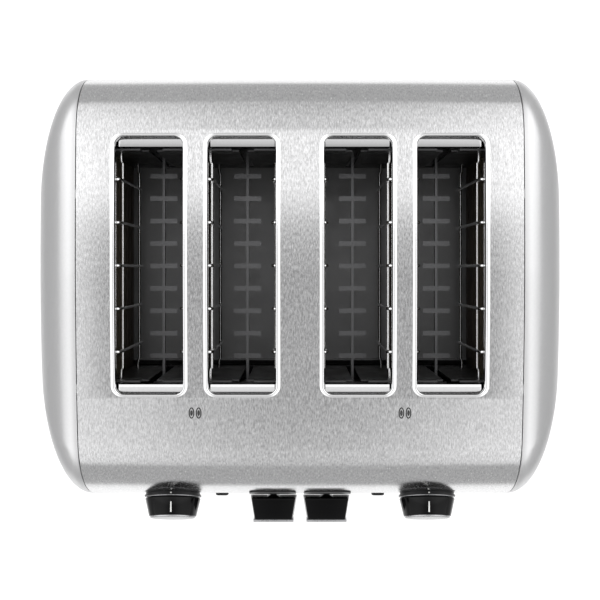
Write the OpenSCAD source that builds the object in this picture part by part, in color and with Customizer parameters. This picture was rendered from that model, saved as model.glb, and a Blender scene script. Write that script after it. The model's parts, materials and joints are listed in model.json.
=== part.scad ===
// Pop-up toaster with four wide bread wells in two pairs. Each pair has its own
// lever, carriage, browning dial and buttons.
// +Z is up, the controls face -Y and the wells stand side by side along X.
// The origin is on the surface that the toaster stands on, at the middle of its box.

/* [Body] */
// Width of the steel centre panel between its two seams
panel_w = 256; // [246:1:320]
// How far each end cap bulges past its seam
cap_bulge = 36; // [24:1:44]
// Depth of the body from its front face to its back
body_d = 258; // [254:1:320]
// Height of the crown above the surface
body_h = 200; // [192:1:250]
// Thickness of the steel centre panel
panel_wall = 1; // [0.8:0.1:1.4]
// Thickness of an end cap
cap_wall = 2; // [1.5:0.1:3]
// Open groove between the centre panel and an end cap
seam_gap = 0.4; // [0.2:0.1:1]
// Height of the feet below the base pan's floor
foot_h = 14; // [12:1:20]

/* [Bread wells] */
// Width of a slot's opening
slot_w = 38.6; // [34:0.2:40]
// Length of a slot's opening
slot_l = 148; // [120:1:156]
// Distance between the two slots of a pair
slot_pitch = 53.2; // [52:0.2:55]
// Distance between the two inner slots
middle_pitch = 66.6; // [64:0.2:72]
// Corner radius of an opening
slot_r = 5; // [2:0.5:10]
// How wide the polished rim lies around an opening
rim_w = 2.7; // [2:0.1:5]
// How far the rim stands above the panel
rim_proud = 0.8; // [0.4:0.1:1.5]
// How deep the rim turns down into the well
sleeve_depth = 9; // [6:0.5:12]

/* [Carriages] */
// Travel of a lever from up to latched
travel = 62; // [40:1:75]
// Extra lift above the rest height, to reach small slices
high_lift = 18; // [8:1:20]
// Gap between a latched rack and the crumb tray below it
rack_gap = 3.7; // [3:0.1:8]
// Radius of a guide rod
rod_r = 2.5; // [2:0.1:3]
// Radius of a bread guide's wire
wire_r = 0.9; // [0.6:0.1:1.2]
// How far each bread guide closes in while its carriage goes down
guide_close = 7; // [4:0.5:7.5]

/* [Controls] */
// Distance of each dial from the middle
dial_x = 78.3; // [70:0.1:92]
// Depth of a dial's centre below the crown
dial_drop = 74; // [66:1:80]
// Diameter of a dial knob at its back
knob_d = 33.8; // [26:0.2:38]
// Distance of each lever from the middle
lever_x = 16.8; // [16.4:0.1:20]
// Width of a lever's paddle where it is widest
paddle_w = 29.9; // [24:0.1:30.5]
// How far a paddle's tip stands past the front face
lever_reach = 18.3; // [14:0.1:30]
// Distance of each column of buttons from the middle
button_x = 49; // [44:0.5:52]
// Width of a button
button_w = 8; // [6:0.5:9]
// Travel of a button
button_travel = 1.5; // [0.8:0.1:1.6]

/* [Crumb trays and cord] */
// Height of a crumb tray
tray_h = 9; // [7:0.5:11]
// Radius of the cord's hole in its inlet
cord_r = 3.5; // [2.5:0.1:4.5]

/* [Clearances] */
// Gap around a fixed piece that passes through a cut-out
fit_gap = 0.3; // [0.2:0.05:0.5]
// Gap around a shaft or rod that slides or turns
run_gap = 0.05; // [0.02:0.01:0.1]

/* [Hidden] */

LEFT = -1;
RIGHT = 1;
$fn = 48;

// Heights
shell_z = foot_h;                        // lower edge of the panel and caps
floor_z = foot_h + 2;                    // top of the base pan's floor
dial_z = body_h - dial_drop;
chamber_top = body_h - 19;               // top edge of the chamber's end plates
tray_z = floor_z + fit_gap;
tray_top = tray_z + tray_h;
bar_h = 6;                               // height of a rack's bar
rack_z = tray_top + rack_gap + bar_h + travel; // top of a rack at rest
lever_z = rack_z - 2;                    // middle of a lever's arm at rest

// Places along Y, measured from the middle of the body
half_d = body_d / 2;
crown_y = 12;
slot_y = half_d - 114.4;                 // middle of the slots
chamber_l = slot_l - 14;                 // clear length between the end plates
plate_t = 1;
front_plate_y = slot_y - chamber_l / 2 - plate_t;
rear_plate_y = slot_y + chamber_l / 2;
bracket_t = 1.5;
bracket_y = front_plate_y - 6.5;         // front face of a carriage's bracket
rod_y = bracket_y - rod_r - 1.1;

// Places along X
pair_x = (middle_pitch + slot_pitch) / 2;
slot_xs = [
    -middle_pitch / 2 - slot_pitch, -middle_pitch / 2,
    middle_pitch / 2, middle_pitch / 2 + slot_pitch
];
board_gap = slot_pitch / 2;              // from a slot's middle to each heater board
wall_x = middle_pitch / 2 + slot_pitch + board_gap + 7.4;
rod_x = pair_x;

// The outline in a plane across X, from the back's lower edge over the crown to the
// front's. Each stretch is one curve with two handles.
CURVE_STEPS = 8;
function bend(p, steps) = [
    for (i = [1:steps])
        let (t = i / steps, s = 1 - t)
        s * s * s * p[0] + 3 * s * s * t * p[1] + 3 * s * t * t * p[2] + t * t * t * p[3]
];
back_foot = [half_d - 2.5, shell_z];
back_widest = [half_d, body_h - 82];
back_shoulder = [half_d - 39.4, body_h - 2];
crown = [crown_y, body_h];
front_crease = [38 - half_d, body_h - 11];
front_widest = [-half_d, body_h - 105];
front_foot = [2.5 - half_d, shell_z];
back_wall = [back_foot, [half_d - 1.5, 50], [half_d, body_h - 110], back_widest];
back_corner = [back_widest, [half_d, body_h - 40], [half_d - 12, body_h - 4], back_shoulder];
back_top = [back_shoulder, [half_d - 67, body_h], [40, body_h], crown];
front_top = [crown, [0, body_h], [67 - half_d, body_h - 3.5], front_crease];
front_curve = [front_crease, [15 - half_d, body_h - 21.5], [3 - half_d, body_h - 58], front_widest];
front_wall = [front_widest, [-half_d, 60], [1.5 - half_d, 40], front_foot];
outline = concat(
    [back_foot], bend(back_wall, CURVE_STEPS), bend(back_corner, CURVE_STEPS),
    bend(back_top, CURVE_STEPS), bend(front_top, CURVE_STEPS),
    bend(front_curve, CURVE_STEPS), bend(front_wall, CURVE_STEPS)
);
last = len(outline) - 1;

// The outline moved outwards by d, with its two feet kept at their height
function heading(i) =
    i == 0 ? [0, 1] :
    i == last ? [0, -1] :
    (outline[i + 1] - outline[i - 1]) / norm(outline[i + 1] - outline[i - 1]);
function moved_out(d) = [for (i = [0:last]) outline[i] + d * [heading(i)[1], -heading(i)[0]]];
function reversed(list) = [for (i = [len(list) - 1:-1:0]) list[i]];

// Y of the front face at height z, where the face is at or below its crease
face_table = [for (i = [last:-1:4 * CURVE_STEPS]) [outline[i][1], outline[i][0]]];
function face_y(z) = lookup(z, face_table);

// An end cap's bulge follows a squared-off ellipse, pulled in a little near its foot
CAP_STEPS = 12;
CAP_DEEP = 0.95;                         // powers of the bulge's ellipse along Y, Z and X
CAP_TALL = 0.7;
CAP_WIDE = 1;
widest_z = 80;
foot_tuck = 0.1;
function tuck(z) = 1 - foot_tuck * pow(max(0, (widest_z - z) / (widest_z - shell_z)), 2);
function across(a) = pow(cos(a), CAP_DEEP);
function upward(a) = pow(cos(a), CAP_TALL);
function outward(a) = pow(sin(a), CAP_WIDE);

// Moves the body so that its box, with the levers, is centred on the origin
module in_frame() {
    translate([0, lever_reach / 2, 0]) children();
}

module round_rect(w, l, r) {
    union() {
        square([w - 2 * r, l], center = true);
        square([w, l - 2 * r], center = true);
        for (x = [-1, 1], y = [-1, 1])
            translate([x * (w / 2 - r), y * (l / 2 - r)]) circle(r);
    }
}

// A box given by its two corners
module span(low, high) {
    translate(low) cube(high - low);
}

// The layer between two offsets of the outline, along X
module wrap(low, high, w) {
    rotate([90, 0, 90]) linear_extrude(w, center = true)
        polygon(concat(moved_out(low), reversed(moved_out(high))));
}

// Everything inside one offset of the outline, along X
module inside_outline(d, w) {
    rotate([90, 0, 90]) linear_extrude(w, center = true) polygon(moved_out(d));
}

// A rounded window through the front wall, in the XZ plane
module front_window(x, low_z, high_z, w, r) {
    translate([x, -half_d + 20, (low_z + high_z) / 2]) rotate([90, 0, 0])
        linear_extrude(40) round_rect(w, high_z - low_z, r);
}

// Stands its children on a dial's seat: their +Z is the dial's axis, pointing out
dial_lean = 13;
module at_dial(side) {
    translate([side * dial_x, face_y(dial_z), dial_z]) rotate([90 - dial_lean, 0, 0]) children();
}

// ---- Shell ----

ring_r = knob_d / 2 - 0.4;               // of a dial ring where it passes the panel
escutcheon_w = 28.5;
escutcheon_low = shell_z + 6;
escutcheon_high = body_h - 59;
escutcheon_proud = 0.8;
arm_w = 3.7;                             // of a lever's arm
arm_h = 10;
arm_slot_w = arm_w + 1.3;
arm_low = lever_z - arm_h / 2 - travel - 2;
arm_high = lever_z + arm_h / 2 + high_lift + 2;
sleeve_wall = 1.7;                       // around an arm's slot, where it passes the panel
button_h = button_w + 2;
button_zs = [lever_z + 7, lever_z - 9, lever_z - 25];
sleeve_t = 1;                            // wall of a slot's turned-down rim
tray_in = 8.5;                           // inner side of a tray, from the middle
tray_out = wall_x - 3;
inlet_z = 45;
inlet_r = cord_r + 3.5;

module top_shell() {
    sleeve_hole = 2 * (sleeve_t + fit_gap);
    color("silver") in_frame() difference() {
        wrap(-panel_wall, 0, panel_w);
        for (x = slot_xs)
            translate([x, slot_y, body_h - 20]) linear_extrude(30)
                round_rect(slot_w + sleeve_hole, slot_l + sleeve_hole, slot_r + sleeve_hole / 2);
        for (side = [LEFT, RIGHT]) {
            at_dial(side) translate([0, 0, -10]) cylinder(h = 20, r = ring_r + fit_gap);
            front_window(side * lever_x, arm_low - sleeve_wall - fit_gap,
                arm_high + sleeve_wall + fit_gap,
                arm_slot_w + 2 * (sleeve_wall + fit_gap), 3);
            for (z = button_zs)
                front_window(side * button_x, z - button_h / 2 - fit_gap,
                    z + button_h / 2 + fit_gap, button_w + 2 * fit_gap, 1.5);
            span([min(side * (tray_in - fit_gap), side * (tray_out + fit_gap)), 0, 0],
                [max(side * (tray_in - fit_gap), side * (tray_out + fit_gap)),
                half_d + 5, tray_top + fit_gap]);
        }
        translate([0, half_d - 20, inlet_z]) rotate([-90, 0, 0])
            cylinder(h = 30, r = inlet_r + fit_gap);
    }
}

// One skin of a cap: a ring of points for each step up the bulge, then its pole
function cap_skin(path, bulge) = concat(
    [
        for (j = [0:CAP_STEPS - 1], p = path)
            let (a = 90 * j / CAP_STEPS, y = p[0] * across(a),
                z = shell_z + (p[1] - shell_z) * upward(a))
            [bulge * outward(a) * tuck(z), y, z]
    ],
    [[bulge * tuck(shell_z), 0, shell_z]]
);

module end_cap() {
    n = last + 1;
    pole = n * CAP_STEPS;
    skin = pole + 1;
    points = concat(cap_skin(outline, cap_bulge),
        cap_skin(moved_out(-cap_wall), cap_bulge - cap_wall));
    quads = [for (j = [0:CAP_STEPS - 2], i = [0:last - 1])
        [j * n + i, j * n + i + 1, (j + 1) * n + i + 1, (j + 1) * n + i]];
    tips = [for (i = [0:last - 1]) [(CAP_STEPS - 1) * n + i, (CAP_STEPS - 1) * n + i + 1, pole]];
    outer = concat([for (q = quads) [q[0], q[1], q[2]]], [for (q = quads) [q[0], q[2], q[3]]], tips);
    inner = [for (f = outer) [f[2] + skin, f[1] + skin, f[0] + skin]];
    arch = [for (i = [0:last - 1]) each [[i + 1, i, i + skin], [i + 1, i + skin, i + 1 + skin]]];
    back_edge = [for (j = [0:CAP_STEPS - 1])
        let (a = j * n, b = j == CAP_STEPS - 1 ? pole : (j + 1) * n)
        each [[a, b, b + skin], [a, b + skin, a + skin]]];
    front_edge = [for (j = [0:CAP_STEPS - 1])
        let (a = j * n + last, b = j == CAP_STEPS - 1 ? pole : (j + 1) * n + last)
        each [[b, a, a + skin], [b, a + skin, b + skin]]];
    translate([panel_w / 2 + seam_gap, 0, 0])
        polyhedron(points, [for (f = concat(outer, inner, arch, back_edge, front_edge)) reversed(f)]);
}

module left_end_cap() {
    color("gainsboro") in_frame() mirror([1, 0, 0]) end_cap();
}

module right_end_cap() {
    color("gainsboro") in_frame() end_cap();
}

// The footprint inside the shells, for the base pan
function foot_side(inset, side) = [
    for (k = [-CAP_STEPS:CAP_STEPS])
        let (a = 90 - 90 * abs(k) / CAP_STEPS)
        [side * (panel_w / 2 + (cap_bulge * (1 - foot_tuck) - inset) * outward(a)),
        sign(k) * side * (half_d - 2.5 - inset) * across(a)]
];
function footprint(inset) = concat(foot_side(inset, RIGHT), foot_side(inset, LEFT));

pan_inset = cap_wall + 0.6;
pan_wall = 2;
foot_places = [for (x = [-1, 1], y = [-1, 1]) [x * (panel_w / 2 - 8), y * (half_d - 41)]];
screw_places = [for (side = [LEFT, RIGHT], p = [
    [panel_w / 2 - 3, half_d - 74], [panel_w / 2 - 3, 74 - half_d],
    [panel_w / 2 - 28, 39 - half_d], [25, 24 - half_d]
]) [side * p[0], p[1]]];
screw_r = 1.7;

module base_pan() {
    color("#202022") in_frame() difference() {
        translate([0, 0, shell_z - 6]) linear_extrude(floor_z - shell_z + 6)
            polygon(footprint(pan_inset));
        translate([0, 0, shell_z - 7]) linear_extrude(7) polygon(footprint(pan_inset + pan_wall));
        for (p = screw_places)
            translate([p[0], p[1], 0]) cylinder(h = floor_z + 1, r = screw_r + 0.2);
    }
}

module feet() {
    color("#141414") in_frame() for (p = foot_places)
        translate([p[0], p[1], 0]) rotate_extrude()
            polygon([[0, 0], [10, 0], [11, 1], [11, 6], [8, 8], [8, foot_h], [0, foot_h]]);
}

module base_screws() {
    color("silver") in_frame() for (p = screw_places)
        translate([p[0], p[1], foot_h - 2]) difference() {
            union() {
                cylinder(h = 2, r = 3.4);
                cylinder(h = 7, r = screw_r);
            }
            for (turn = [0, 90])
                rotate(turn) translate([-2, -0.4, -1]) cube([4, 0.8, 2]);
        }
}

// ---- Toasting chamber ----

guide_zs = [body_h - 39, floor_z + 46];  // heights of a bread guide's two long wires
guide_rest = slot_w / 2 - 1.8;           // from a slot's middle to a bread guide
guide_open = guide_close * high_lift / travel;
rod_top = body_h - 50;
shelf_t = 1.5;
bar_gap = 0.5;                           // below a latched rack's bar, in its slot

// An end plate, open for the racks' bars and the bread guides' ends
module end_plate(y) {
    difference() {
        span([-wall_x - plate_t, y, floor_z], [wall_x + plate_t, y + plate_t, chamber_top]);
        for (x = slot_xs) {
            span([x - 2.5, y - 1, rack_z - travel - bar_h - bar_gap],
                [x + 2.5, y + plate_t + 1, chamber_top + 1]);
            span([x - 6.5, y - 1, chamber_top - 9], [x + 6.5, y + plate_t + 1, chamber_top + 1]);
            for (side = [LEFT, RIGHT], z = guide_zs)
                translate([x + side * (guide_rest + wire_r - guide_close / 2), y, z])
                    cube([guide_close + guide_open * 2 + 6 * wire_r, 4, 3.4 * wire_r], center = true);
        }
    }
}

module front_plate() {
    color("darkgray") in_frame() {
        difference() {
            union() {
                end_plate(front_plate_y);
                for (side = [LEFT, RIGHT])
                    span([side * rod_x - 14, rod_y - 6, rod_top],
                        [side * rod_x + 14, front_plate_y, rod_top + shelf_t]);
            }
            for (side = [LEFT, RIGHT])
                translate([side * rod_x, rod_y, rod_top - 1])
                    cylinder(h = shelf_t + 2, r = rod_r + run_gap);
        }
    }
}

// The rear plate ends above the crumb trays and hangs on the chamber's walls
module rear_plate() {
    color("darkgray") in_frame() difference() {
        end_plate(rear_plate_y);
        span([-wall_x - plate_t - 1, rear_plate_y - 1, 0],
            [wall_x + plate_t + 1, rear_plate_y + plate_t + 1, tray_top + bar_gap]);
    }
}

module chamber_wall(x, top) {
    color("dimgray") in_frame()
        span([x - plate_t / 2, front_plate_y + plate_t, floor_z], [x + plate_t / 2, rear_plate_y, top]);
}

module left_outer_wall() {
    chamber_wall(-wall_x, chamber_top);
}

module right_outer_wall() {
    chamber_wall(wall_x, chamber_top);
}

module centre_wall() {
    chamber_wall(0, chamber_top);
}

heater_z = tray_top + 4;
heater_top = body_h - 35;
heater_t = 0.6;
ribbon_t = 0.2;
ribbon_rows = 9;

module heater_boards(side) {
    color("#b9a77c") in_frame() for (k = [-1, 0, 1])
        translate([side * pair_x + k * slot_pitch, 0, 0])
            span([-heater_t / 2, front_plate_y + plate_t, heater_z],
                [heater_t / 2, rear_plate_y, heater_top]);
}

module heater_wires(side) {
    row_step = (heater_top - heater_z - 16) / (ribbon_rows - 1);
    color("#7d6a58") in_frame() for (k = [-1, 0, 1], face = [-1, 1], row = [0:ribbon_rows - 1])
        translate([side * pair_x + k * slot_pitch + face * (heater_t + ribbon_t) / 2,
            slot_y, heater_z + 8 + row * row_step])
            cube([ribbon_t, chamber_l - 12, 2], center = true);
}

module left_heater_boards() {
    heater_boards(LEFT);
}

module right_heater_boards() {
    heater_boards(RIGHT);
}

module left_heater_wires() {
    heater_wires(LEFT);
}

module right_heater_wires() {
    heater_wires(RIGHT);
}

// The polished rim of one slot: a lip on the panel, a collar down into the well, and
// a sloped lead-in at each end
module slot_trim(x) {
    lip_w = 2 * rim_w;
    end_w = rim_w * 2 / 3;
    collar = 2 * sleeve_t;
    collar_z = body_h - sleeve_depth;
    ramp_top = slot_l / 2;
    ramp_low = chamber_l / 2 + 2.2;
    color("white") in_frame() translate([x, 0, 0]) {
        intersection() {
            wrap(0, rim_proud, slot_w + lip_w + 2);
            translate([0, slot_y, body_h - 20]) linear_extrude(30) difference() {
                round_rect(slot_w + lip_w, slot_l + 2 * end_w, slot_r + end_w);
                round_rect(slot_w, slot_l, slot_r);
            }
        }
        intersection() {
            inside_outline(rim_proud, slot_w + lip_w + 2);
            translate([0, slot_y, collar_z]) linear_extrude(30) difference() {
                round_rect(slot_w + collar, slot_l + collar, slot_r + sleeve_t);
                round_rect(slot_w, slot_l, slot_r);
            }
        }
        for (end = [-1, 1])
            translate([0, slot_y, 0]) rotate([90, 0, 90])
                linear_extrude(slot_w - 1.4, center = true)
                polygon([for (p = [[ramp_top, collar_z + 3], [ramp_low, collar_z - 7],
                    [ramp_low + 0.9, collar_z - 7.5], [ramp_top + 0.9, collar_z + 2.5]])
                    [end * p[0], p[1]]]);
    }
}

module slot_trim_1() {
    slot_trim(slot_xs[0]);
}

module slot_trim_2() {
    slot_trim(slot_xs[1]);
}

module slot_trim_3() {
    slot_trim(slot_xs[2]);
}

module slot_trim_4() {
    slot_trim(slot_xs[3]);
}

// ---- Carriages ----

bracket_low = lever_z - 11;
bracket_high = lever_z + 9;
bush_h = 12;
bush_r = 5;
armature_t = 3;
magnet_x = rod_x + 14;

module guide_rods() {
    color("silver") in_frame() for (side = [LEFT, RIGHT])
        translate([side * rod_x, rod_y, floor_z]) cylinder(h = rod_top + 5 - floor_z, r = rod_r);
}

// The electromagnets that hold the carriages down, with a steel core and a coil
module latch_magnets() {
    top = bracket_high - armature_t - 3 - travel - fit_gap;
    color("#8a4b2a") in_frame() for (side = [LEFT, RIGHT])
        translate([side * magnet_x, bracket_y - 12, floor_z]) {
            cylinder(h = top - floor_z, r = 3.5);
            translate([0, 0, 1]) cylinder(h = top - floor_z - 2, r = 7);
        }
}

SPRING_TURNS = 12;
SPRING_STEPS = 12;
SPRING_SIDES = 6;
spring_wire = 0.45;                      // radius of the springs' wire
spring_r = rod_r + 1.3 + spring_wire;    // outer radius of a spring

// A coil between the base pan's floor and the carriage's bush
module return_spring(side) {
    wire = spring_wire;
    coil_r = spring_r - wire;
    low = floor_z + wire + fit_gap;
    rise = bracket_high - bush_h - fit_gap - wire - low;
    count = SPRING_TURNS * SPRING_STEPS;
    points = [for (i = [0:count], k = [0:SPRING_SIDES - 1])
        let (a = 360 * i / SPRING_STEPS, b = 360 * k / SPRING_SIDES, r = coil_r + wire * cos(b))
        [r * cos(a), r * sin(a), low + rise * i / count + wire * sin(b)]];
    sides = [for (i = [0:count - 1], k = [0:SPRING_SIDES - 1])
        let (p = i * SPRING_SIDES + k, q = i * SPRING_SIDES + (k + 1) % SPRING_SIDES)
        each [[p, p + SPRING_SIDES, q + SPRING_SIDES], [p, q + SPRING_SIDES, q]]];
    first_end = [for (k = [0:SPRING_SIDES - 1]) k];
    last_end = [for (k = [SPRING_SIDES - 1:-1:0]) count * SPRING_SIDES + k];
    color("silver") in_frame() translate([side * rod_x, rod_y, 0])
        polyhedron(points, concat(sides, [first_end, last_end]));
}

module left_return_spring() {
    return_spring(LEFT);
}

module right_return_spring() {
    return_spring(RIGHT);
}

arm_tip = -half_d - 11;                  // front end of an arm, inside its paddle

// A bracket in front of the chamber, with its bush, lever arm and armature
module carriage(side) {
    far_x = middle_pitch / 2 + slot_pitch + 6;
    color("gray") in_frame() mirror([side == LEFT ? 1 : 0, 0, 0]) difference() {
        union() {
            span([lever_x - arm_w / 2, bracket_y, bracket_low], [far_x, bracket_y + bracket_t, bracket_high]);
            span([lever_x - arm_w / 2, arm_tip, lever_z - arm_h / 2],
                [lever_x + arm_w / 2, bracket_y, lever_z + arm_h / 2]);
            span([magnet_x - 7, bracket_y - 19, bracket_high - armature_t - 3],
                [magnet_x + 7, bracket_y, bracket_high - 3]);
            translate([rod_x, rod_y, bracket_high - bush_h]) cylinder(h = bush_h, r = bush_r);
        }
        translate([rod_x, rod_y, bracket_high - bush_h - 1])
            cylinder(h = bush_h + 2, r = rod_r + run_gap);
        // room for the return spring under the bush
        span([rod_x - spring_r - fit_gap, bracket_y - 1, bracket_low - 1],
            [rod_x + spring_r + fit_gap, bracket_y + bracket_t + 1, bracket_high - bush_h]);
    }
}

module left_carriage() {
    carriage(LEFT);
}

module right_carriage() {
    carriage(RIGHT);
}

// A bar under each slice, with cross pieces that the bread stands on
rack_half = guide_rest - guide_close - wire_r - 1;
rack_steps = 8;

module bread_rack(x) {
    bar_end = rear_plate_y + plate_t + 5;
    step = (chamber_l - 20) / rack_steps;
    color("gray") in_frame() translate([x, 0, 0]) {
        span([-0.8, bracket_y + bracket_t, rack_z - bar_h], [0.8, bar_end, rack_z]);
        for (i = [0:rack_steps])
            translate([0, slot_y + (i - rack_steps / 2) * step, rack_z - 0.75])
                cube([2 * rack_half, 3, 1.5], center = true);
    }
}

module bread_rack_1() {
    bread_rack(slot_xs[0]);
}

module bread_rack_2() {
    bread_rack(slot_xs[1]);
}

module bread_rack_3() {
    bread_rack(slot_xs[2]);
}

module bread_rack_4() {
    bread_rack(slot_xs[3]);
}

// A wire frame beside the bread: upright wires on the bread's side of two long ones,
// with their tops turned outwards under the slot's rim
upright_pitch = 25;
hook_l = 3;
module bread_guide(slot, side) {
    end_l = chamber_l / 2 + plate_t + 2;
    top = body_h - sleeve_depth - 4;
    low = guide_zs[1] - 6;
    long_x = guide_rest + 1.7 * wire_r;
    color("gainsboro") in_frame() translate([slot_xs[slot], slot_y, 0])
        mirror([side == LEFT ? 1 : 0, 0, 0]) union() {
            for (z = guide_zs)
                translate([long_x, -end_l, z]) rotate([-90, 0, 0]) cylinder(h = 2 * end_l, r = wire_r);
            for (k = [-2:2])
                translate([guide_rest, k * upright_pitch, 0]) {
                    translate([0, 0, low]) cylinder(h = top - low, r = wire_r);
                    translate([0, 0, top - wire_r]) rotate([0, 90, 0]) cylinder(h = hook_l, r = wire_r * 0.8);
                }
        }
}

module bread_guide_1a() {
    bread_guide(0, LEFT);
}

module bread_guide_1b() {
    bread_guide(0, RIGHT);
}

module bread_guide_2a() {
    bread_guide(1, LEFT);
}

module bread_guide_2b() {
    bread_guide(1, RIGHT);
}

module bread_guide_3a() {
    bread_guide(2, LEFT);
}

module bread_guide_3b() {
    bread_guide(2, RIGHT);
}

module bread_guide_4a() {
    bread_guide(3, LEFT);
}

module bread_guide_4b() {
    bread_guide(3, RIGHT);
}

// ---- Controls ----

shaft_r = 3;
board_back = -23;                        // back of a control board, behind a dial's seat
board_t = 1.6;
ring_proud = 3;
knob_l = 11.1;
face_l = 1.5;
knob_z = ring_proud + 0.4;

// The ring around a dial, which passes through the panel
module dial_ring(side) {
    color("#151515") in_frame() at_dial(side) difference() {
        rotate_extrude() polygon([
            [shaft_r + 0.3, -6], [ring_r, -6], [ring_r, 0.8], [knob_d / 2 + 0.6, ring_proud - 0.8],
            [knob_d / 2 + 0.6, ring_proud], [ring_r - 3, ring_proud], [ring_r - 3, -4], [shaft_r + 0.3, -4]
        ]);
        translate([0, 0, -7]) cylinder(h = 4, r = shaft_r + 0.3);
    }
}

// The knob, on the shaft that turns in the control behind it
module dial_knob(side) {
    color("#0c0c0c") in_frame() at_dial(side) union() {
        translate([0, 0, knob_z]) cylinder(h = knob_l, r1 = knob_d / 2, r2 = knob_d / 2 - 2.4);
        translate([0, 0, board_back + board_t + 1]) cylinder(h = knob_z - board_back - board_t, r = shaft_r);
    }
}

module dial_face(side) {
    face_r = knob_d / 2 - 2.9;
    color("lightgray") in_frame() at_dial(side) translate([0, 0, knob_z + knob_l]) rotate_extrude()
        polygon([[0, 0], [face_r, 0], [face_r, 0.3], [face_r - 1.4, face_l - 0.2], [face_r * 0.5, face_l - 0.05], [0, face_l]]);
}

// A circuit board parallel to the sloped face, with the dial's control on it
module control_board(side) {
    board_half = dial_x - button_x + 6;
    color("#1f5a3a") in_frame() at_dial(side) difference() {
        union() {
            span([-board_half, -60, board_back], [board_half, 18, board_back + board_t]);
            span([-8, -8, board_back + board_t], [8, 8, -12]);
            translate([0, 0, -12]) cylinder(h = 6, r = shaft_r + 2);
        }
        translate([0, 0, board_back + board_t]) cylinder(h = 30, r = shaft_r + run_gap);
    }
}

module left_control_board() {
    control_board(LEFT);
}

module right_control_board() {
    control_board(RIGHT);
}

module left_dial_ring() {
    dial_ring(LEFT);
}

module right_dial_ring() {
    dial_ring(RIGHT);
}

module left_dial_knob() {
    dial_knob(LEFT);
}

module right_dial_knob() {
    dial_knob(RIGHT);
}

module left_dial_face() {
    dial_face(LEFT);
}

module right_dial_face() {
    dial_face(RIGHT);
}

// The plate around a lever's slot: it lies on the panel and lines the slot
module escutcheon(side) {
    color("#101010") in_frame() translate([side * lever_x, 0, 0]) difference() {
        union() {
            intersection() {
                wrap(0, escutcheon_proud, escutcheon_w + 2);
                front_window(0, escutcheon_low, escutcheon_high, escutcheon_w, 5);
            }
            intersection() {
                wrap(-panel_wall - 2, 0, escutcheon_w + 2);
                front_window(0, arm_low - sleeve_wall, arm_high + sleeve_wall,
                    arm_slot_w + 2 * sleeve_wall, 3);
            }
        }
        front_window(0, arm_low, arm_high, arm_slot_w, 1.5);
        intersection() {
            wrap(0.3, escutcheon_proud + 1, escutcheon_w + 2);
            front_window(0, arm_low - 3, arm_high + 3, arm_slot_w + 6, 4);
        }
    }
}

module left_escutcheon() {
    escutcheon(LEFT);
}

module right_escutcheon() {
    escutcheon(RIGHT);
}

paddle_back = -half_d - escutcheon_proud - 2;
paddle_tip = -half_d - lever_reach;
trim_t = 1.6;
paddle_h = 15;
paddle_top = lever_z + 8;
tip_w = paddle_w - 4.4;

// The paddle, wider at its back, with a pocket for the arm
module lever(side) {
    color("#0c0c0c") in_frame() translate([side * lever_x, 0, 0]) difference() {
        translate([0, 0, paddle_top - paddle_h]) linear_extrude(paddle_h) polygon([
            [-paddle_w / 2, paddle_back], [paddle_w / 2, paddle_back],
            [tip_w / 2, paddle_tip + trim_t], [-tip_w / 2, paddle_tip + trim_t]
        ]);
        span([-arm_w / 2 - run_gap, arm_tip - run_gap, lever_z - arm_h / 2 - run_gap],
            [arm_w / 2 + run_gap, paddle_back + 1, lever_z + arm_h / 2 + run_gap]);
    }
}

module lever_trim(side) {
    color("lightgray") in_frame() translate([side * lever_x, 0, 0])
        span([-tip_w / 2, paddle_tip, paddle_top - paddle_h + 0.8], [tip_w / 2, paddle_tip + trim_t, paddle_top - 0.8]);
}

module left_lever() {
    lever(LEFT);
}

module right_lever() {
    lever(RIGHT);
}

module left_lever_trim() {
    lever_trim(LEFT);
}

module right_lever_trim() {
    lever_trim(RIGHT);
}

// Front of a control board at height z, on the line through its middle
function board_front(z) =
    let (deep = -board_back - board_t, up = (z - dial_z + deep * sin(dial_lean)) / cos(dial_lean))
    face_y(dial_z) + up * sin(dial_lean) + deep * cos(dial_lean);

// A button with a flange behind the panel and a pin that reaches for its switch
module button(side, row) {
    z = button_zs[row];
    proud = button_travel + 0.3;
    front_y = face_y(z) - proud;
    flange_y = face_y(z) + panel_wall + 2;
    pin_y = board_front(z - 1.5) - button_travel - 0.5;
    color("#1a1a1a") in_frame() translate([side * button_x, 0, z]) union() {
        translate([0, flange_y, 0]) rotate([90, 0, 0])
            linear_extrude(flange_y - front_y) round_rect(button_w, button_h, 1.2);
        span([-button_w / 2 - 1, flange_y, -button_h / 2 - 1], [button_w / 2 + 1, flange_y + 1, button_h / 2 + 1]);
        if (pin_y > flange_y + 2)
            translate([0, flange_y, 0]) rotate([-90, 0, 0]) cylinder(h = pin_y - flange_y, r = 1.5);
    }
}

module left_button_top() {
    button(LEFT, 0);
}

module left_button_middle() {
    button(LEFT, 1);
}

module left_button_low() {
    button(LEFT, 2);
}

module right_button_top() {
    button(RIGHT, 0);
}

module right_button_middle() {
    button(RIGHT, 1);
}

module right_button_low() {
    button(RIGHT, 2);
}

// ---- Crumb trays and cord inlet ----

tray_t = 0.8;
tray_front = front_plate_y + plate_t + 3;
tray_back = half_d - 4.8;                // back of the pan of a tray, inside the panel
tray_face_t = 2.2;

module crumb_tray(side) {
    w = tray_out - tray_in;
    color("gray") in_frame() translate([side * (tray_in + tray_out) / 2, 0, 0]) union() {
        difference() {
            span([-w / 2, tray_front, tray_z], [w / 2, tray_back, tray_top]);
            span([-w / 2 + tray_t, tray_front + tray_t, tray_z + tray_t],
                [w / 2 - tray_t, tray_back - tray_t, tray_top + 1]);
        }
        span([-w / 2, tray_back, shell_z + fit_gap], [w / 2, tray_back + tray_face_t, tray_top]);
        translate([0, tray_back + tray_face_t, tray_z + 4]) rotate([0, 90, 0])
            linear_extrude(36, center = true) polygon([[-2, 0], [-0.6, 2], [0.8, 2], [2, 0]]);
    }
}

module left_crumb_tray() {
    crumb_tray(LEFT);
}

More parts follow.
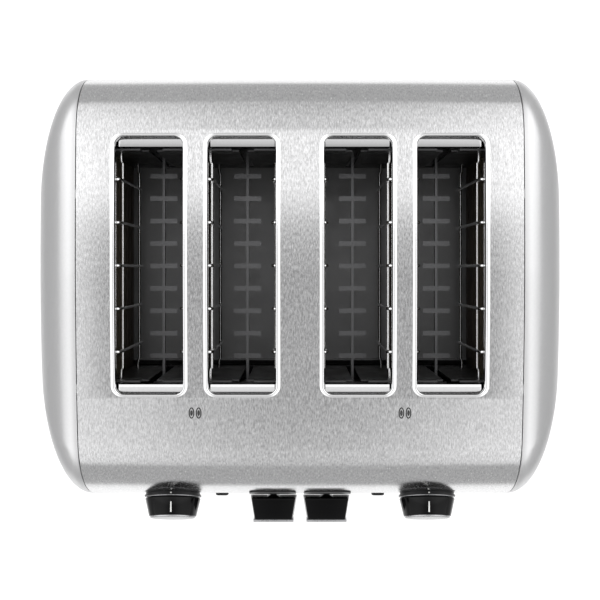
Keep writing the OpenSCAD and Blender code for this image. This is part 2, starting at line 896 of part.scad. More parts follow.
module right_crumb_tray() {
    crumb_tray(RIGHT);
}

inlet_back = half_d - 0.2;
inlet_l = 10.8;

module cord_inlet() {
    color("#161616") in_frame() translate([0, inlet_back, inlet_z]) rotate([90, 0, 0]) difference() {
        union() {
            cylinder(h = 1, r = inlet_r + 2);
            cylinder(h = inlet_l, r = inlet_r);
            translate([0, 0, 3.6]) cylinder(h = 3, r = inlet_r + 2);
        }
        translate([0, 0, -1]) cylinder(h = inlet_l + 2, r = cord_r);
    }
}

top_shell();
left_end_cap();
right_end_cap();
base_pan();
feet();
base_screws();
front_plate();
rear_plate();
left_outer_wall();
right_outer_wall();
centre_wall();
left_heater_boards();
right_heater_boards();
left_heater_wires();
right_heater_wires();
slot_trim_1();
slot_trim_2();
slot_trim_3();
slot_trim_4();
guide_rods();
latch_magnets();
left_return_spring();
right_return_spring();
left_control_board();
right_control_board();
left_dial_ring();
right_dial_ring();
left_dial_knob();
right_dial_knob();
left_dial_face();
right_dial_face();
left_escutcheon();
right_escutcheon();
left_carriage();
right_carriage();
left_lever();
right_lever();
left_lever_trim();
right_lever_trim();
bread_rack_1();
bread_rack_2();
bread_rack_3();
bread_rack_4();
bread_guide_1a();
bread_guide_1b();
bread_guide_2a();
bread_guide_2b();
bread_guide_3a();
bread_guide_3b();
bread_guide_4a();
bread_guide_4b();
left_button_top();
left_button_middle();
left_button_low();
right_button_top();
right_button_middle();
right_button_low();
left_crumb_tray();
right_crumb_tray();
cord_inlet();
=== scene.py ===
"""Pop-up toaster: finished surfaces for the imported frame, with its floor, lights and camera."""
import json
import logging
import math
from dataclasses import dataclass, field
from enum import Enum
from typing import Callable, Iterable, Sequence

import bmesh
import bpy
from mathutils import Matrix, Vector

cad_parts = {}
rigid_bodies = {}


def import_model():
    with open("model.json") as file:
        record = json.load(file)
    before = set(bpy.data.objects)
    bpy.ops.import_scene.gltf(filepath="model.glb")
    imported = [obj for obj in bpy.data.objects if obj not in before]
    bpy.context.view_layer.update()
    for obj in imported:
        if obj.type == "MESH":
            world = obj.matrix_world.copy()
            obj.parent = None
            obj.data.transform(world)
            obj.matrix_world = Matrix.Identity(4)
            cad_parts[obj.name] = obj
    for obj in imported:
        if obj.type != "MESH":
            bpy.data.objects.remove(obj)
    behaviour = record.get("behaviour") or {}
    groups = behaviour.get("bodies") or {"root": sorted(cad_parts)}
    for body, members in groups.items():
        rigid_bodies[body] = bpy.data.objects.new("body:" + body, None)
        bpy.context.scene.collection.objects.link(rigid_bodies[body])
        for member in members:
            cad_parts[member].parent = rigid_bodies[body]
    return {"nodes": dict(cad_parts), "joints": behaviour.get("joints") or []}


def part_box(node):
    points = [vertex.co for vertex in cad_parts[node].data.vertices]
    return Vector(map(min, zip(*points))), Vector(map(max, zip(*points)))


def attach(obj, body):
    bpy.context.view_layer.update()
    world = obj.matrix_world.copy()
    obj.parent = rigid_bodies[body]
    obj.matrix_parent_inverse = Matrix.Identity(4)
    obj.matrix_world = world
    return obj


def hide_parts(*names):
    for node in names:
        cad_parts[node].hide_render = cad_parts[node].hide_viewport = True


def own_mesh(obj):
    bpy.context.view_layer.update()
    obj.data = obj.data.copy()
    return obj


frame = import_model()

log = logging.getLogger("toaster")

MM = 0.001
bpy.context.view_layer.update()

Point2 = tuple[float, float]
Point3 = tuple[float, float, float]


class Side(Enum):
    """The half of the toaster that a piece belongs to."""

    LEFT = -1
    RIGHT = 1

    @property
    def word(self) -> str:
        """The side's name, as the bodies and nodes spell it."""
        return self.name.lower()


class Grain(Enum):
    """How a finish varies over its surface, as the stretch of its noise along X, Y and Z."""

    BRUSHED = (1500.0, 420.0, 420.0)
    SATIN = (700.0, 700.0, 700.0)
    SHEET = (90.0, 90.0, 30.0)
    MOULDED = (1400.0, 1400.0, 1400.0)
    FIBRE = (60.0, 260.0, 1300.0)
    DRAWN = (400.0, 400.0, 400.0)
    CLOUDY = (55.0, 55.0, 55.0)


@dataclass(frozen=True)
class Finish:
    """A surface finish, made of a varied base colour, a varied gloss and a fine relief.

    Colours are linear. tone_spread is how far the colour swings about its base, as a share.
    """

    name: str
    base: Point3
    metallic: float
    roughness: float
    grain: Grain
    tone_spread: float = 0.06
    rough_spread: float = 0.05
    relief: float = 0.15
    relief_depth: float = 0.00002
    smudge: float = 0.04
    coat: float = 0.0
    anisotropy: float = 0.0
    specular: float = 0.5

    def material(self) -> bpy.types.Material:
        """The finish as a material, made once and then shared."""
        found = bpy.data.materials.get(f"finish_{self.name}")
        if found:
            return found
        made = bpy.data.materials.new(f"finish_{self.name}")
        made.use_nodes = True
        nodes, links = made.node_tree.nodes, made.node_tree.links
        shader = nodes["Principled BSDF"]
        shader.inputs["Metallic"].default_value = self.metallic
        shader.inputs["Coat Weight"].default_value = self.coat
        shader.inputs["Coat Roughness"].default_value = 0.08
        shader.inputs["Specular IOR Level"].default_value = self.specular
        shader.inputs["Anisotropic"].default_value = self.anisotropy
        if self.anisotropy:
            across = nodes.new("ShaderNodeCombineXYZ")
            across.inputs["X"].default_value = 1.0
            links.new(across.outputs["Vector"], shader.inputs["Tangent"])
        place = nodes.new("ShaderNodeTexCoord")
        stretch = nodes.new("ShaderNodeMapping")
        stretch.inputs["Scale"].default_value = self.grain.value
        fine = nodes.new("ShaderNodeTexNoise")
        fine.inputs["Scale"].default_value = 1.0
        fine.inputs["Detail"].default_value = 5.0
        fine.inputs["Roughness"].default_value = 0.62
        broad = nodes.new("ShaderNodeTexNoise")
        broad.inputs["Scale"].default_value = 14.0
        broad.inputs["Detail"].default_value = 3.0
        links.new(place.outputs["Object"], stretch.inputs["Vector"])
        links.new(stretch.outputs["Vector"], fine.inputs["Vector"])
        links.new(place.outputs["Object"], broad.inputs["Vector"])
        tone = nodes.new("ShaderNodeMix")
        tone.data_type = "RGBA"
        low = [max(0.0, c * (1 - self.tone_spread)) for c in self.base]
        high = [min(1.0, c * (1 + self.tone_spread)) for c in self.base]
        tone.inputs["A"].default_value = (*low, 1.0)
        tone.inputs["B"].default_value = (*high, 1.0)
        spread = nodes.new("ShaderNodeMapRange")
        spread.inputs["From Min"].default_value = 0.3
        spread.inputs["From Max"].default_value = 0.7
        links.new(fine.outputs["Fac"], spread.inputs["Value"])
        links.new(spread.outputs["Result"], tone.inputs["Factor"])
        links.new(tone.outputs["Result"], shader.inputs["Base Color"])
        gloss = nodes.new("ShaderNodeMapRange")
        gloss.inputs["From Min"].default_value = 0.3
        gloss.inputs["From Max"].default_value = 0.7
        gloss.inputs["To Min"].default_value = max(0.03, self.roughness - self.rough_spread)
        gloss.inputs["To Max"].default_value = self.roughness + self.rough_spread
        links.new(fine.outputs["Fac"], gloss.inputs["Value"])
        smudged = nodes.new("ShaderNodeMath")
        smudged.operation = "MULTIPLY_ADD"
        smudged.inputs[1].default_value = self.smudge
        links.new(broad.outputs["Fac"], smudged.inputs[0])
        links.new(gloss.outputs["Result"], smudged.inputs[2])
        links.new(smudged.outputs["Value"], shader.inputs["Roughness"])
        bump = nodes.new("ShaderNodeBump")
        bump.inputs["Strength"].default_value = self.relief
        bump.inputs["Distance"].default_value = self.relief_depth
        links.new(fine.outputs["Fac"], bump.inputs["Height"])
        links.new(bump.outputs["Normal"], shader.inputs["Normal"])
        return made

    def dress(self, *pieces: bpy.types.Object) -> None:
        """Gives the finish to every slot of the pieces.

        Args:
            pieces: mesh objects, new ones or carried-over nodes.
        """
        for piece in pieces:
            if not piece.material_slots:
                piece.data.materials.append(self.material())
            for slot in piece.material_slots:
                slot.material = self.material()


PANEL = Finish("brushed_panel", (0.60, 0.60, 0.605), 1.0, 0.22, Grain.BRUSHED,
               tone_spread=0.30, rough_spread=0.05, relief=0.12, relief_depth=0.00001,
               smudge=0.02, anisotropy=0.85)
CAP = Finish("satin_cap", (0.64, 0.64, 0.645), 1.0, 0.32, Grain.SATIN,
             tone_spread=0.03, relief=0.10, relief_depth=0.00001)
RIM = Finish("polished_rim", (0.86, 0.86, 0.865), 1.0, 0.09, Grain.SATIN,
             tone_spread=0.02, rough_spread=0.02, relief=0.04, relief_depth=0.00001)
WIRE = Finish("bright_wire", (0.80, 0.80, 0.80), 1.0, 0.16, Grain.DRAWN,
              tone_spread=0.08, rough_spread=0.05, relief=0.08, relief_depth=0.00001)
# painted shade: the chamber sheet is given a near-black colour, darker than bare sheet, so that the wells
# read as dark as shade makes them
PAINTED_SHADE_CHAMBER = Finish("chamber_sheet", (0.085, 0.085, 0.087), 1.0, 0.42, Grain.SHEET,
                 tone_spread=0.18, rough_spread=0.08, relief=0.25, relief_depth=0.00004)
CARRIAGE = Finish("plated_carriage", (0.20, 0.20, 0.205), 1.0, 0.36, Grain.DRAWN,
                  tone_spread=0.12, rough_spread=0.06, relief=0.15)
# painted shade: the crumb tray is given a dark colour so that the well floors above it read as dark as shade
# makes them
PAINTED_SHADE_TRAY = Finish("tray_sheet", (0.24, 0.24, 0.243), 1.0, 0.34, Grain.SHEET,
              tone_spread=0.06, relief=0.15)
MICA = Finish("mica_board", (0.115, 0.095, 0.062), 0.0, 0.55, Grain.FIBRE,
              tone_spread=0.30, rough_spread=0.10, relief=0.40, relief_depth=0.00006)
RIBBON = Finish("heater_ribbon", (0.14, 0.11, 0.09), 1.0, 0.48, Grain.DRAWN,
                tone_spread=0.25, relief=0.25)
COIL = Finish("varnished_coil", (0.30, 0.095, 0.035), 0.3, 0.30, Grain.FIBRE,
              tone_spread=0.25, relief=0.50, relief_depth=0.00020, coat=0.5)
BOARD = Finish("circuit_board", (0.022, 0.105, 0.048), 0.0, 0.35, Grain.CLOUDY,
               tone_spread=0.20, relief=0.20, coat=0.3)
SCREW = Finish("zinc_screw", (0.52, 0.52, 0.53), 1.0, 0.30, Grain.DRAWN, tone_spread=0.10)
GLOSS_BLACK = Finish("gloss_black", (0.0025, 0.0025, 0.0028), 0.0, 0.10, Grain.CLOUDY,
                     tone_spread=0.15, rough_spread=0.03, relief=0.03, relief_depth=0.00001, specular=0.16)
SATIN_BLACK = Finish("satin_black", (0.006, 0.006, 0.0064), 0.0, 0.30, Grain.MOULDED,
                     tone_spread=0.20, relief=0.18, relief_depth=0.00002, specular=0.35)
BASE_BLACK = Finish("textured_black", (0.020, 0.020, 0.021), 0.0, 0.52, Grain.MOULDED,
                    tone_spread=0.25, relief=0.45, relief_depth=0.00006)
RUBBER = Finish("foot_rubber", (0.013, 0.013, 0.013), 0.0, 0.75, Grain.MOULDED,
                tone_spread=0.25, relief=0.35, relief_depth=0.00005)
DIAL_SILVER = Finish("dial_silver", (0.50, 0.50, 0.51), 1.0, 0.27, Grain.SATIN,
                     tone_spread=0.04, relief=0.10, relief_depth=0.00001)
MARK_WHITE = Finish("mark_white", (0.82, 0.82, 0.80), 0.0, 0.45, Grain.MOULDED, tone_spread=0.03)
MARK_BLACK = Finish("mark_black", (0.012, 0.012, 0.012), 0.0, 0.50, Grain.MOULDED, tone_spread=0.2)


# ---- Mesh making ----


def new_piece(name: str, verts: Sequence[Sequence[float]], faces: Sequence[Sequence[int]],
              crease_deg: float = 35.0, outward: bool = True) -> bpy.types.Object:
    """Makes a mesh object at the origin, smooth but for its sharp edges.

    Args:
        name: the piece's name.
        verts: its points, in the frame, in metres.
        faces: its faces, as indices into verts.
        crease_deg: edges that turn by more than this stay sharp.
        outward: turn every face outwards, for a closed shape.

    Returns:
        The object, linked to the scene.
    """
    mesh = bpy.data.meshes.new(name)
    mesh.from_pydata([tuple(v) for v in verts], [], [tuple(f) for f in faces])
    if outward:
        turn_outwards(mesh)
    finish_shading(mesh, crease_deg)
    piece = bpy.data.objects.new(name, mesh)
    bpy.context.scene.collection.objects.link(piece)
    return piece


def turn_outwards(mesh: bpy.types.Mesh) -> None:
    """Merges a closed mesh's doubled points and points its faces outwards."""
    work = bmesh.new()
    work.from_mesh(mesh)
    bmesh.ops.remove_doubles(work, verts=work.verts, dist=1e-7)
    bmesh.ops.recalc_face_normals(work, faces=work.faces)
    work.to_mesh(mesh)
    work.free()


def finish_shading(mesh: bpy.types.Mesh, crease_deg: float) -> None:
    """Shades a mesh smooth, with edges past an angle kept sharp."""
    mesh.shade_smooth()
    mesh.set_sharp_from_angle(angle=math.radians(crease_deg))
    mesh.update()


def settle(piece: bpy.types.Object, crease_deg: float = 35.0) -> bpy.types.Object:
    """Turns a piece and its modifiers into a plain mesh.

    Args:
        piece: an object with live modifiers.
        crease_deg: edges that turn by more than this stay sharp.

    Returns:
        The same object, with the result as its mesh.
    """
    graph = bpy.context.evaluated_depsgraph_get()
    graph.update()
    mesh = bpy.data.meshes.new_from_object(piece.evaluated_get(graph))
    piece.modifiers.clear()
    piece.data = mesh
    mesh.name = piece.name
    finish_shading(mesh, crease_deg)
    return piece


def cut_away(piece: bpy.types.Object, cutters: Iterable[bpy.types.Object],
             crease_deg: float = 35.0) -> bpy.types.Object:
    """Cuts closed shapes out of a piece and removes them.

    Args:
        piece: the closed piece to cut.
        cutters: the closed shapes to take away.
        crease_deg: edges that turn by more than this stay sharp.

    Returns:
        The cut piece.
    """
    cutters = list(cutters)
    for cutter in cutters:
        cut = piece.modifiers.new(cutter.name, "BOOLEAN")
        cut.operation = "DIFFERENCE"
        cut.solver = "EXACT"
        cut.object = cutter
    settle(piece, crease_deg)
    for cutter in cutters:
        bpy.data.objects.remove(cutter)
    return piece


def softened(piece: bpy.types.Object, width: float, segments: int = 2,
             crease_deg: float = 35.0) -> bpy.types.Object:
    """Rounds a piece's sharp edges.

    Args:
        piece: the piece.
        width: the width of the rounding, in metres.
        segments: steps across each rounding.
        crease_deg: edges that turn by more than this are rounded.

    Returns:
        The rounded piece, as a plain mesh.
    """
    bevel = piece.modifiers.new("softened", "BEVEL")
    bevel.width = width
    bevel.segments = segments
    bevel.limit_method = "ANGLE"
    bevel.angle_limit = math.radians(crease_deg)
    bevel.harden_normals = False
    return settle(piece, 60.0)


def joined(name: str, pieces: Sequence[bpy.types.Object]) -> bpy.types.Object:
    """Puts several separate shapes into one piece.

    Args:
        name: the new piece's name.
        pieces: the shapes, which are used up.

    Returns:
        The one piece.
    """
    work = bmesh.new()
    for piece in pieces:
        work.from_mesh(piece.data)
        bpy.data.objects.remove(piece)
    mesh = bpy.data.meshes.new(name)
    work.to_mesh(mesh)
    work.free()
    finish_shading(mesh, 50.0)
    one = bpy.data.objects.new(name, mesh)
    bpy.context.scene.collection.objects.link(one)
    return one


def grid_faces(rows: int, columns: int, close_rows: bool = False,
               close_columns: bool = False) -> list[tuple[int, int, int, int]]:
    """Quads over a grid of points stored row by row.

    Args:
        rows: how many rows of points there are.
        columns: how many points a row holds.
        close_rows: join the last row to the first.
        close_columns: join each row's last point to its first.

    Returns:
        The quads, as indices.
    """
    faces = []
    for r in range(rows if close_rows else rows - 1):
        for c in range(columns if close_columns else columns - 1):
            r2, c2 = (r + 1) % rows, (c + 1) % columns
            faces.append((r * columns + c, r * columns + c2, r2 * columns + c2, r2 * columns + c))
    return faces


def loft(name: str, rings: Sequence[Sequence[Sequence[float]]], closed: bool = False,
         crease_deg: float = 35.0) -> bpy.types.Object:
    """A closed solid through rings of points, with its ends filled unless it closes on itself.

    Args:
        name: the piece's name.
        rings: rings that all hold the same number of points.
        closed: join the last ring to the first.
        crease_deg: edges that turn by more than this stay sharp.

    Returns:
        The piece.
    """
    count = len(rings[0])
    verts = [p for ring in rings for p in ring]
    faces: list[Sequence[int]] = list(grid_faces(len(rings), count, closed, True))
    if not closed:
        faces.append(tuple(reversed(range(count))))
        faces.append(tuple(range((len(rings) - 1) * count, len(rings) * count)))
    return new_piece(name, verts, faces, crease_deg)


def lathe(name: str, profile: Sequence[Point2], seat: Matrix, segments: int = 96,
          crease_deg: float = 40.0) -> bpy.types.Object:
    """A solid of revolution about the seat's Z axis, from a closed outline.

    Args:
        name: the piece's name.
        profile: (radius, height) points round the outline; a radius of 0 lies on the axis.
        seat: where the axis stands in the frame.
        segments: steps round the axis.
        crease_deg: edges that turn by more than this stay sharp.

    Returns:
        The piece.
    """
    rings = []
    for k in range(segments):
        a = 2 * math.pi * k / segments
        rings.append([seat @ Vector((r * math.cos(a), r * math.sin(a), z)) for r, z in profile])
    verts = [p for ring in rings for p in ring]
    return new_piece(name, verts, grid_faces(segments, len(profile), True, True), crease_deg)


def arc(centre: Point2, radius: float, start_deg: float, end_deg: float, steps: int) -> list[Point2]:
    """Points along an arc, both ends included."""
    angles = [math.radians(start_deg + (end_deg - start_deg) * i / steps) for i in range(steps + 1)]
    return [(centre[0] + radius * math.cos(a), centre[1] + radius * math.sin(a)) for a in angles]


def rounded_rectangle(width: float, length: float, radius: float, corner_steps: int = 8,
                      side_steps: int = 1) -> list[tuple[Point2, Point2]]:
    """A rounded rectangle about the origin, counter-clockwise.

    Args:
        width: its size along the first axis.
        length: its size along the second axis.
        radius: its corner radius.
        corner_steps: steps round each corner.
        side_steps: steps along each of the two long sides.

    Returns:
        A list of (point, outward direction).
    """
    out = []
    corners = ((1, 1, 0), (-1, 1, 90), (-1, -1, 180), (1, -1, 270))
    for sx, sy, start in corners:
        centre = (sx * (width / 2 - radius), sy * (length / 2 - radius))
        for i in range(corner_steps + 1):
            a = math.radians(start + 90 * i / corner_steps)
            way = (math.cos(a), math.sin(a))
            out.append(((centre[0] + radius * way[0], centre[1] + radius * way[1]), way))
        if start in (90, 270):
            half = length / 2 - radius
            for i in range(1, side_steps):
                y = half - 2 * half * i / side_steps
                out.append(((sx * width / 2, sy * y), (float(sx), 0.0)))
    return out


def block(name: str, low: Sequence[float], high: Sequence[float]) -> bpy.types.Object:
    """A plain box between two corners, for cutting with or for rounding afterwards."""
    ring = lambda z: [(low[0], low[1], z), (high[0], low[1], z), (high[0], high[1], z), (low[0], high[1], z)]
    return loft(name, [ring(low[2]), ring(high[2])])


def prism(name: str, outline: Sequence[Point2], place: Callable[[Point2, float], Point3],
          low: float, high: float) -> bpy.types.Object:
    """A straight prism over a flat outline.

    Args:
        name: the piece's name.
        outline: its points, in the plane of the outline.
        place: turns an outline point and a height into a point of the frame.
        low: the height of its first end.
        high: the height of its second end.

    Returns:
        The piece.
    """
    return loft(name, [[place(p, h) for p in outline] for h in (low, high)])


# ---- The body's outline ----


def bend(p: Sequence[Point2], steps: int) -> list[Point2]:
    """Points along a curve with two handles, without its first point."""
    out = []
    for i in range(1, steps + 1):
        t = i / steps
        s = 1 - t
        w = (s * s * s, 3 * s * s * t, 3 * s * t * t, t * t * t)
        out.append((sum(a * q[0] for a, q in zip(w, p)), sum(a * q[1] for a, q in zip(w, p))))
    return out


@dataclass(frozen=True)
class Outline:
    """The body's outline in a plane across X, from the back's foot over the crown to the front's."""

    half_depth: float
    height: float
    foot_z: float
    middle_y: float
    steps: int = 30
    crown_y: float = 12 * MM
    foot_tuck: float = 2.5 * MM

    @classmethod
    def of_node(cls, node: str) -> "Outline":
        """The outline that fits a node's box."""
        low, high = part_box(node)
        return cls((high.y - low.y) / 2, high.z, low.z, (high.y + low.y) / 2)

    def points(self, out: float = 0.0) -> list[Point2]:
        """(y, z) points of the outline.

        Args:
            out: how far the outline is moved outwards, with its feet kept at their height.

        Returns:
            The points in the frame.
        """
        d, h = self.half_depth, self.height
        back_foot = (d - self.foot_tuck, self.foot_z)
        back_widest = (d, h - 82 * MM)
        shoulder = (d - 39.4 * MM, h - 2 * MM)
        crown = (self.crown_y, h)
        crease = (38 * MM - d, h - 11 * MM)
        front_widest = (-d, h - 105 * MM)
        front_foot = (self.foot_tuck - d, self.foot_z)
        curves = (
            (back_foot, (d - 1.5 * MM, 50 * MM), (d, h - 110 * MM), back_widest),
            (back_widest, (d, h - 40 * MM), (d - 12 * MM, h - 4 * MM), shoulder),
            (shoulder, (d - 67 * MM, h), (40 * MM, h), crown),
            (crown, (0.0, h), (67 * MM - d, h - 3.5 * MM), crease),
            (crease, (15 * MM - d, h - 21.5 * MM), (3 * MM - d, h - 58 * MM), front_widest),
            (front_widest, (-d, 60 * MM), (1.5 * MM - d, 40 * MM), front_foot),
        )
        path = [back_foot]
        for curve in curves:
            path += bend(curve, self.steps)
        last = len(path) - 1
        moved = []
        for i, (y, z) in enumerate(path):
            a, b = path[max(i - 1, 0)], path[min(i + 1, last)]
            way = (0.0, 1.0) if i == 0 else (0.0, -1.0) if i == last else (b[0] - a[0], b[1] - a[1])
            long = math.hypot(*way)
            moved.append((y + out * way[1] / long + self.middle_y, z - out * way[0] / long))
        return moved

    def top_z(self, y: float) -> float:
        """Height of the surface above a place along Y, between the back's and front's widest."""
        path = self.points()[self.steps:5 * self.steps + 1]
        for (y1, z1), (y2, z2) in zip(path, path[1:]):
            if y2 <= y <= y1:
                return z2 + (z1 - z2) * (y - y2) / max(y1 - y2, 1e-9)
        return self.height

    def face_y(self, z: float) -> float:
        """Y of the front face at a height."""
        path = self.points()[4 * self.steps:]
        for (y1, z1), (y2, z2) in zip(path, path[1:]):
            if z2 <= z <= z1:
                return y2 + (y1 - y2) * (z - z2) / max(z1 - z2, 1e-9)
        return self.middle_y - self.half_depth


@dataclass
class Bench:
    """Where finished pieces are handed over to the frame."""

    made: list[str] = field(default_factory=list)

    def hand_over(self, piece: bpy.types.Object, body: str, finish: Finish,
                  replaces: Sequence[str] = ()) -> bpy.types.Object:
        """Dresses a piece, makes it ride on its body and hides the nodes that it stands for.

        Args:
            piece: the finished piece.
            body: the body it moves with.
            finish: its finish.
            replaces: the nodes that it stands for.

        Returns:
            The piece.
        """
        finish.dress(piece)
        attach(piece, body)
        if replaces:
            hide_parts(*replaces)
        self.made.append(piece.name)
        log.info("%s: %d faces on %s", piece.name, len(piece.data.polygons), body)
        return piece


# ---- Shell ----


@dataclass
class SteelWrap:
    """The brushed centre panel, bent over the body, with all its openings."""

    outline: Outline
    wall: float = 1.0 * MM
    edge_steps: int = 4
    gap: float = 0.3 * MM
    side_lip: float = 1.4 * MM
    end_lip: float = 0.5 * MM
    slot_corner: float = 6.3 * MM
    arm_margin: float = 2.0 * MM
    button_flange: float = 1.0 * MM
    button_corner: float = 1.5 * MM
    reach: float = 20 * MM

    def panel(self) -> bpy.types.Object:
        """The bent sheet with rounded edges at its seams, before anything is cut."""
        low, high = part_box("top_shell")
        outer = self.outline.points()
        inner = self.outline.points(-self.wall)
        half = (high.x - low.x) / 2
        r = self.wall / 2
        across = []
        for sign in (1, -1):
            for i in range(self.edge_steps + 1):
                a = math.pi * i / self.edge_steps
                share = (1 - math.cos(a)) / 2
                depth = share if sign == 1 else 1 - share
                across.append((sign * (half - r + r * math.sin(a)), depth))
        rings = []
        for (y1, z1), (y2, z2) in zip(outer, inner):
            rings.append([(x, y1 + (y2 - y1) * t, z1 + (z2 - z1) * t) for x, t in across])
        return loft("steel_wrap", rings)

    def cutters(self) -> list[bpy.types.Object]:
        """The shapes of all the panel's openings."""
        out = []
        for k in range(1, 5):
            low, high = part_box(f"slot_trim_{k}")
            cx, cy = (low.x + high.x) / 2, (low.y + high.y) / 2
            w = high.x - low.x - 2 * self.side_lip
            l = high.y - low.y - 2 * self.end_lip
            shape = [(p[0] + cx, p[1] + cy) for p, _ in rounded_rectangle(w, l, self.slot_corner)]
            out.append(prism(f"slot_cut_{k}", shape, lambda p, h: (p[0], p[1], h),
                             low.z, high.z + self.reach))
        for side in Side:
            seat = dial_seat(side)
            r = DialSizes().ring_r + self.gap
            circle = [(r * math.cos(a), r * math.sin(a)) for a in
                      (2 * math.pi * i / 72 for i in range(72))]
            out.append(prism(f"dial_cut_{side.word}", circle,
                             lambda p, h: seat @ Vector((p[0], p[1], h)), -10 * MM, 12 * MM))
            out.append(front_prism(f"arm_cut_{side.word}", *lever_window(side, self.arm_margin)))
            for row in ("top", "middle", "low"):
                low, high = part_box(f"{side.word}_button_{row}")
                inset = self.button_flange - self.gap
                out.append(front_prism(
                    f"button_cut_{side.word}_{row}", (low.x + high.x) / 2, (low.z + high.z) / 2,
                    high.x - low.x - 2 * inset, high.z - low.z - 2 * inset, self.button_corner))
            low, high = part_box(f"{side.word}_crumb_tray")
            out.append(block(f"tray_cut_{side.word}", (low.x - self.gap, high.y - self.reach, 0.0),
                             (high.x + self.gap, high.y + self.reach, high.z + self.gap)))
        low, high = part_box("cord_inlet")
        seat = Matrix.Translation(((low.x + high.x) / 2, high.y - 5 * MM, (low.z + high.z) / 2))
        r = InletSizes().body_r + self.gap
        circle = [(r * math.cos(a), r * math.sin(a)) for a in (2 * math.pi * i / 48 for i in range(48))]
        out.append(prism("inlet_cut", circle, lambda p, h: seat @ Vector((p[0], h, p[1])),
                         -10 * MM, self.reach))
        return out

    def build(self, bench: Bench) -> None:
        """Makes the panel and hands it over."""
        piece = cut_away(self.panel(), self.cutters(), 30.0)
        bench.hand_over(piece, "root", PANEL, ["top_shell"])


def front_prism(name: str, x: float, z: float, width: float, height: float,
                radius: float) -> bpy.types.Object:
    """A rounded bar along Y through the front wall.

    Args:
        name: the piece's name.
        x: the bar's middle along X.
        z: the bar's middle along Z.
        width: its size along X.
        height: its size along Z.
        radius: its corner radius.

    Returns:
        The bar.
    """
    low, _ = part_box("top_shell")
    shape = [(p[0] + x, p[1] + z) for p, _ in rounded_rectangle(width, height, radius)]
    return prism(name, shape, lambda p, h: (p[0], h, p[1]), low.y - 20 * MM, low.y + 22 * MM)


def lever_window(side: Side, margin: float) -> tuple[float, float, float, float, float]:
    """The slot that a lever's arm travels in, as (x, z, width, height, radius).

    Args:
        side: which lever.
        margin: how much wider than the slot itself the window is, all round.

    Returns:
        The window's middle, size and corner radius.
    """
    sizes = LeverSizes()
    travel = next(j for j in frame["joints"] if j["name"] == f"{side.word}_lever_slide")["range_m"]
    low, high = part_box(f"{side.word}_lever")
    arm_z = (low.z + high.z) / 2 - sizes.arm_drop
    bottom = arm_z - sizes.arm_h / 2 + travel[0] - 2 * MM - margin
    top = arm_z + sizes.arm_h / 2 + travel[1] + 2 * MM + margin
    width = sizes.arm_slot_w + 2 * margin
    return (low.x + high.x) / 2, (bottom + top) / 2, width, top - bottom, 1.5 * MM + margin * 0.75


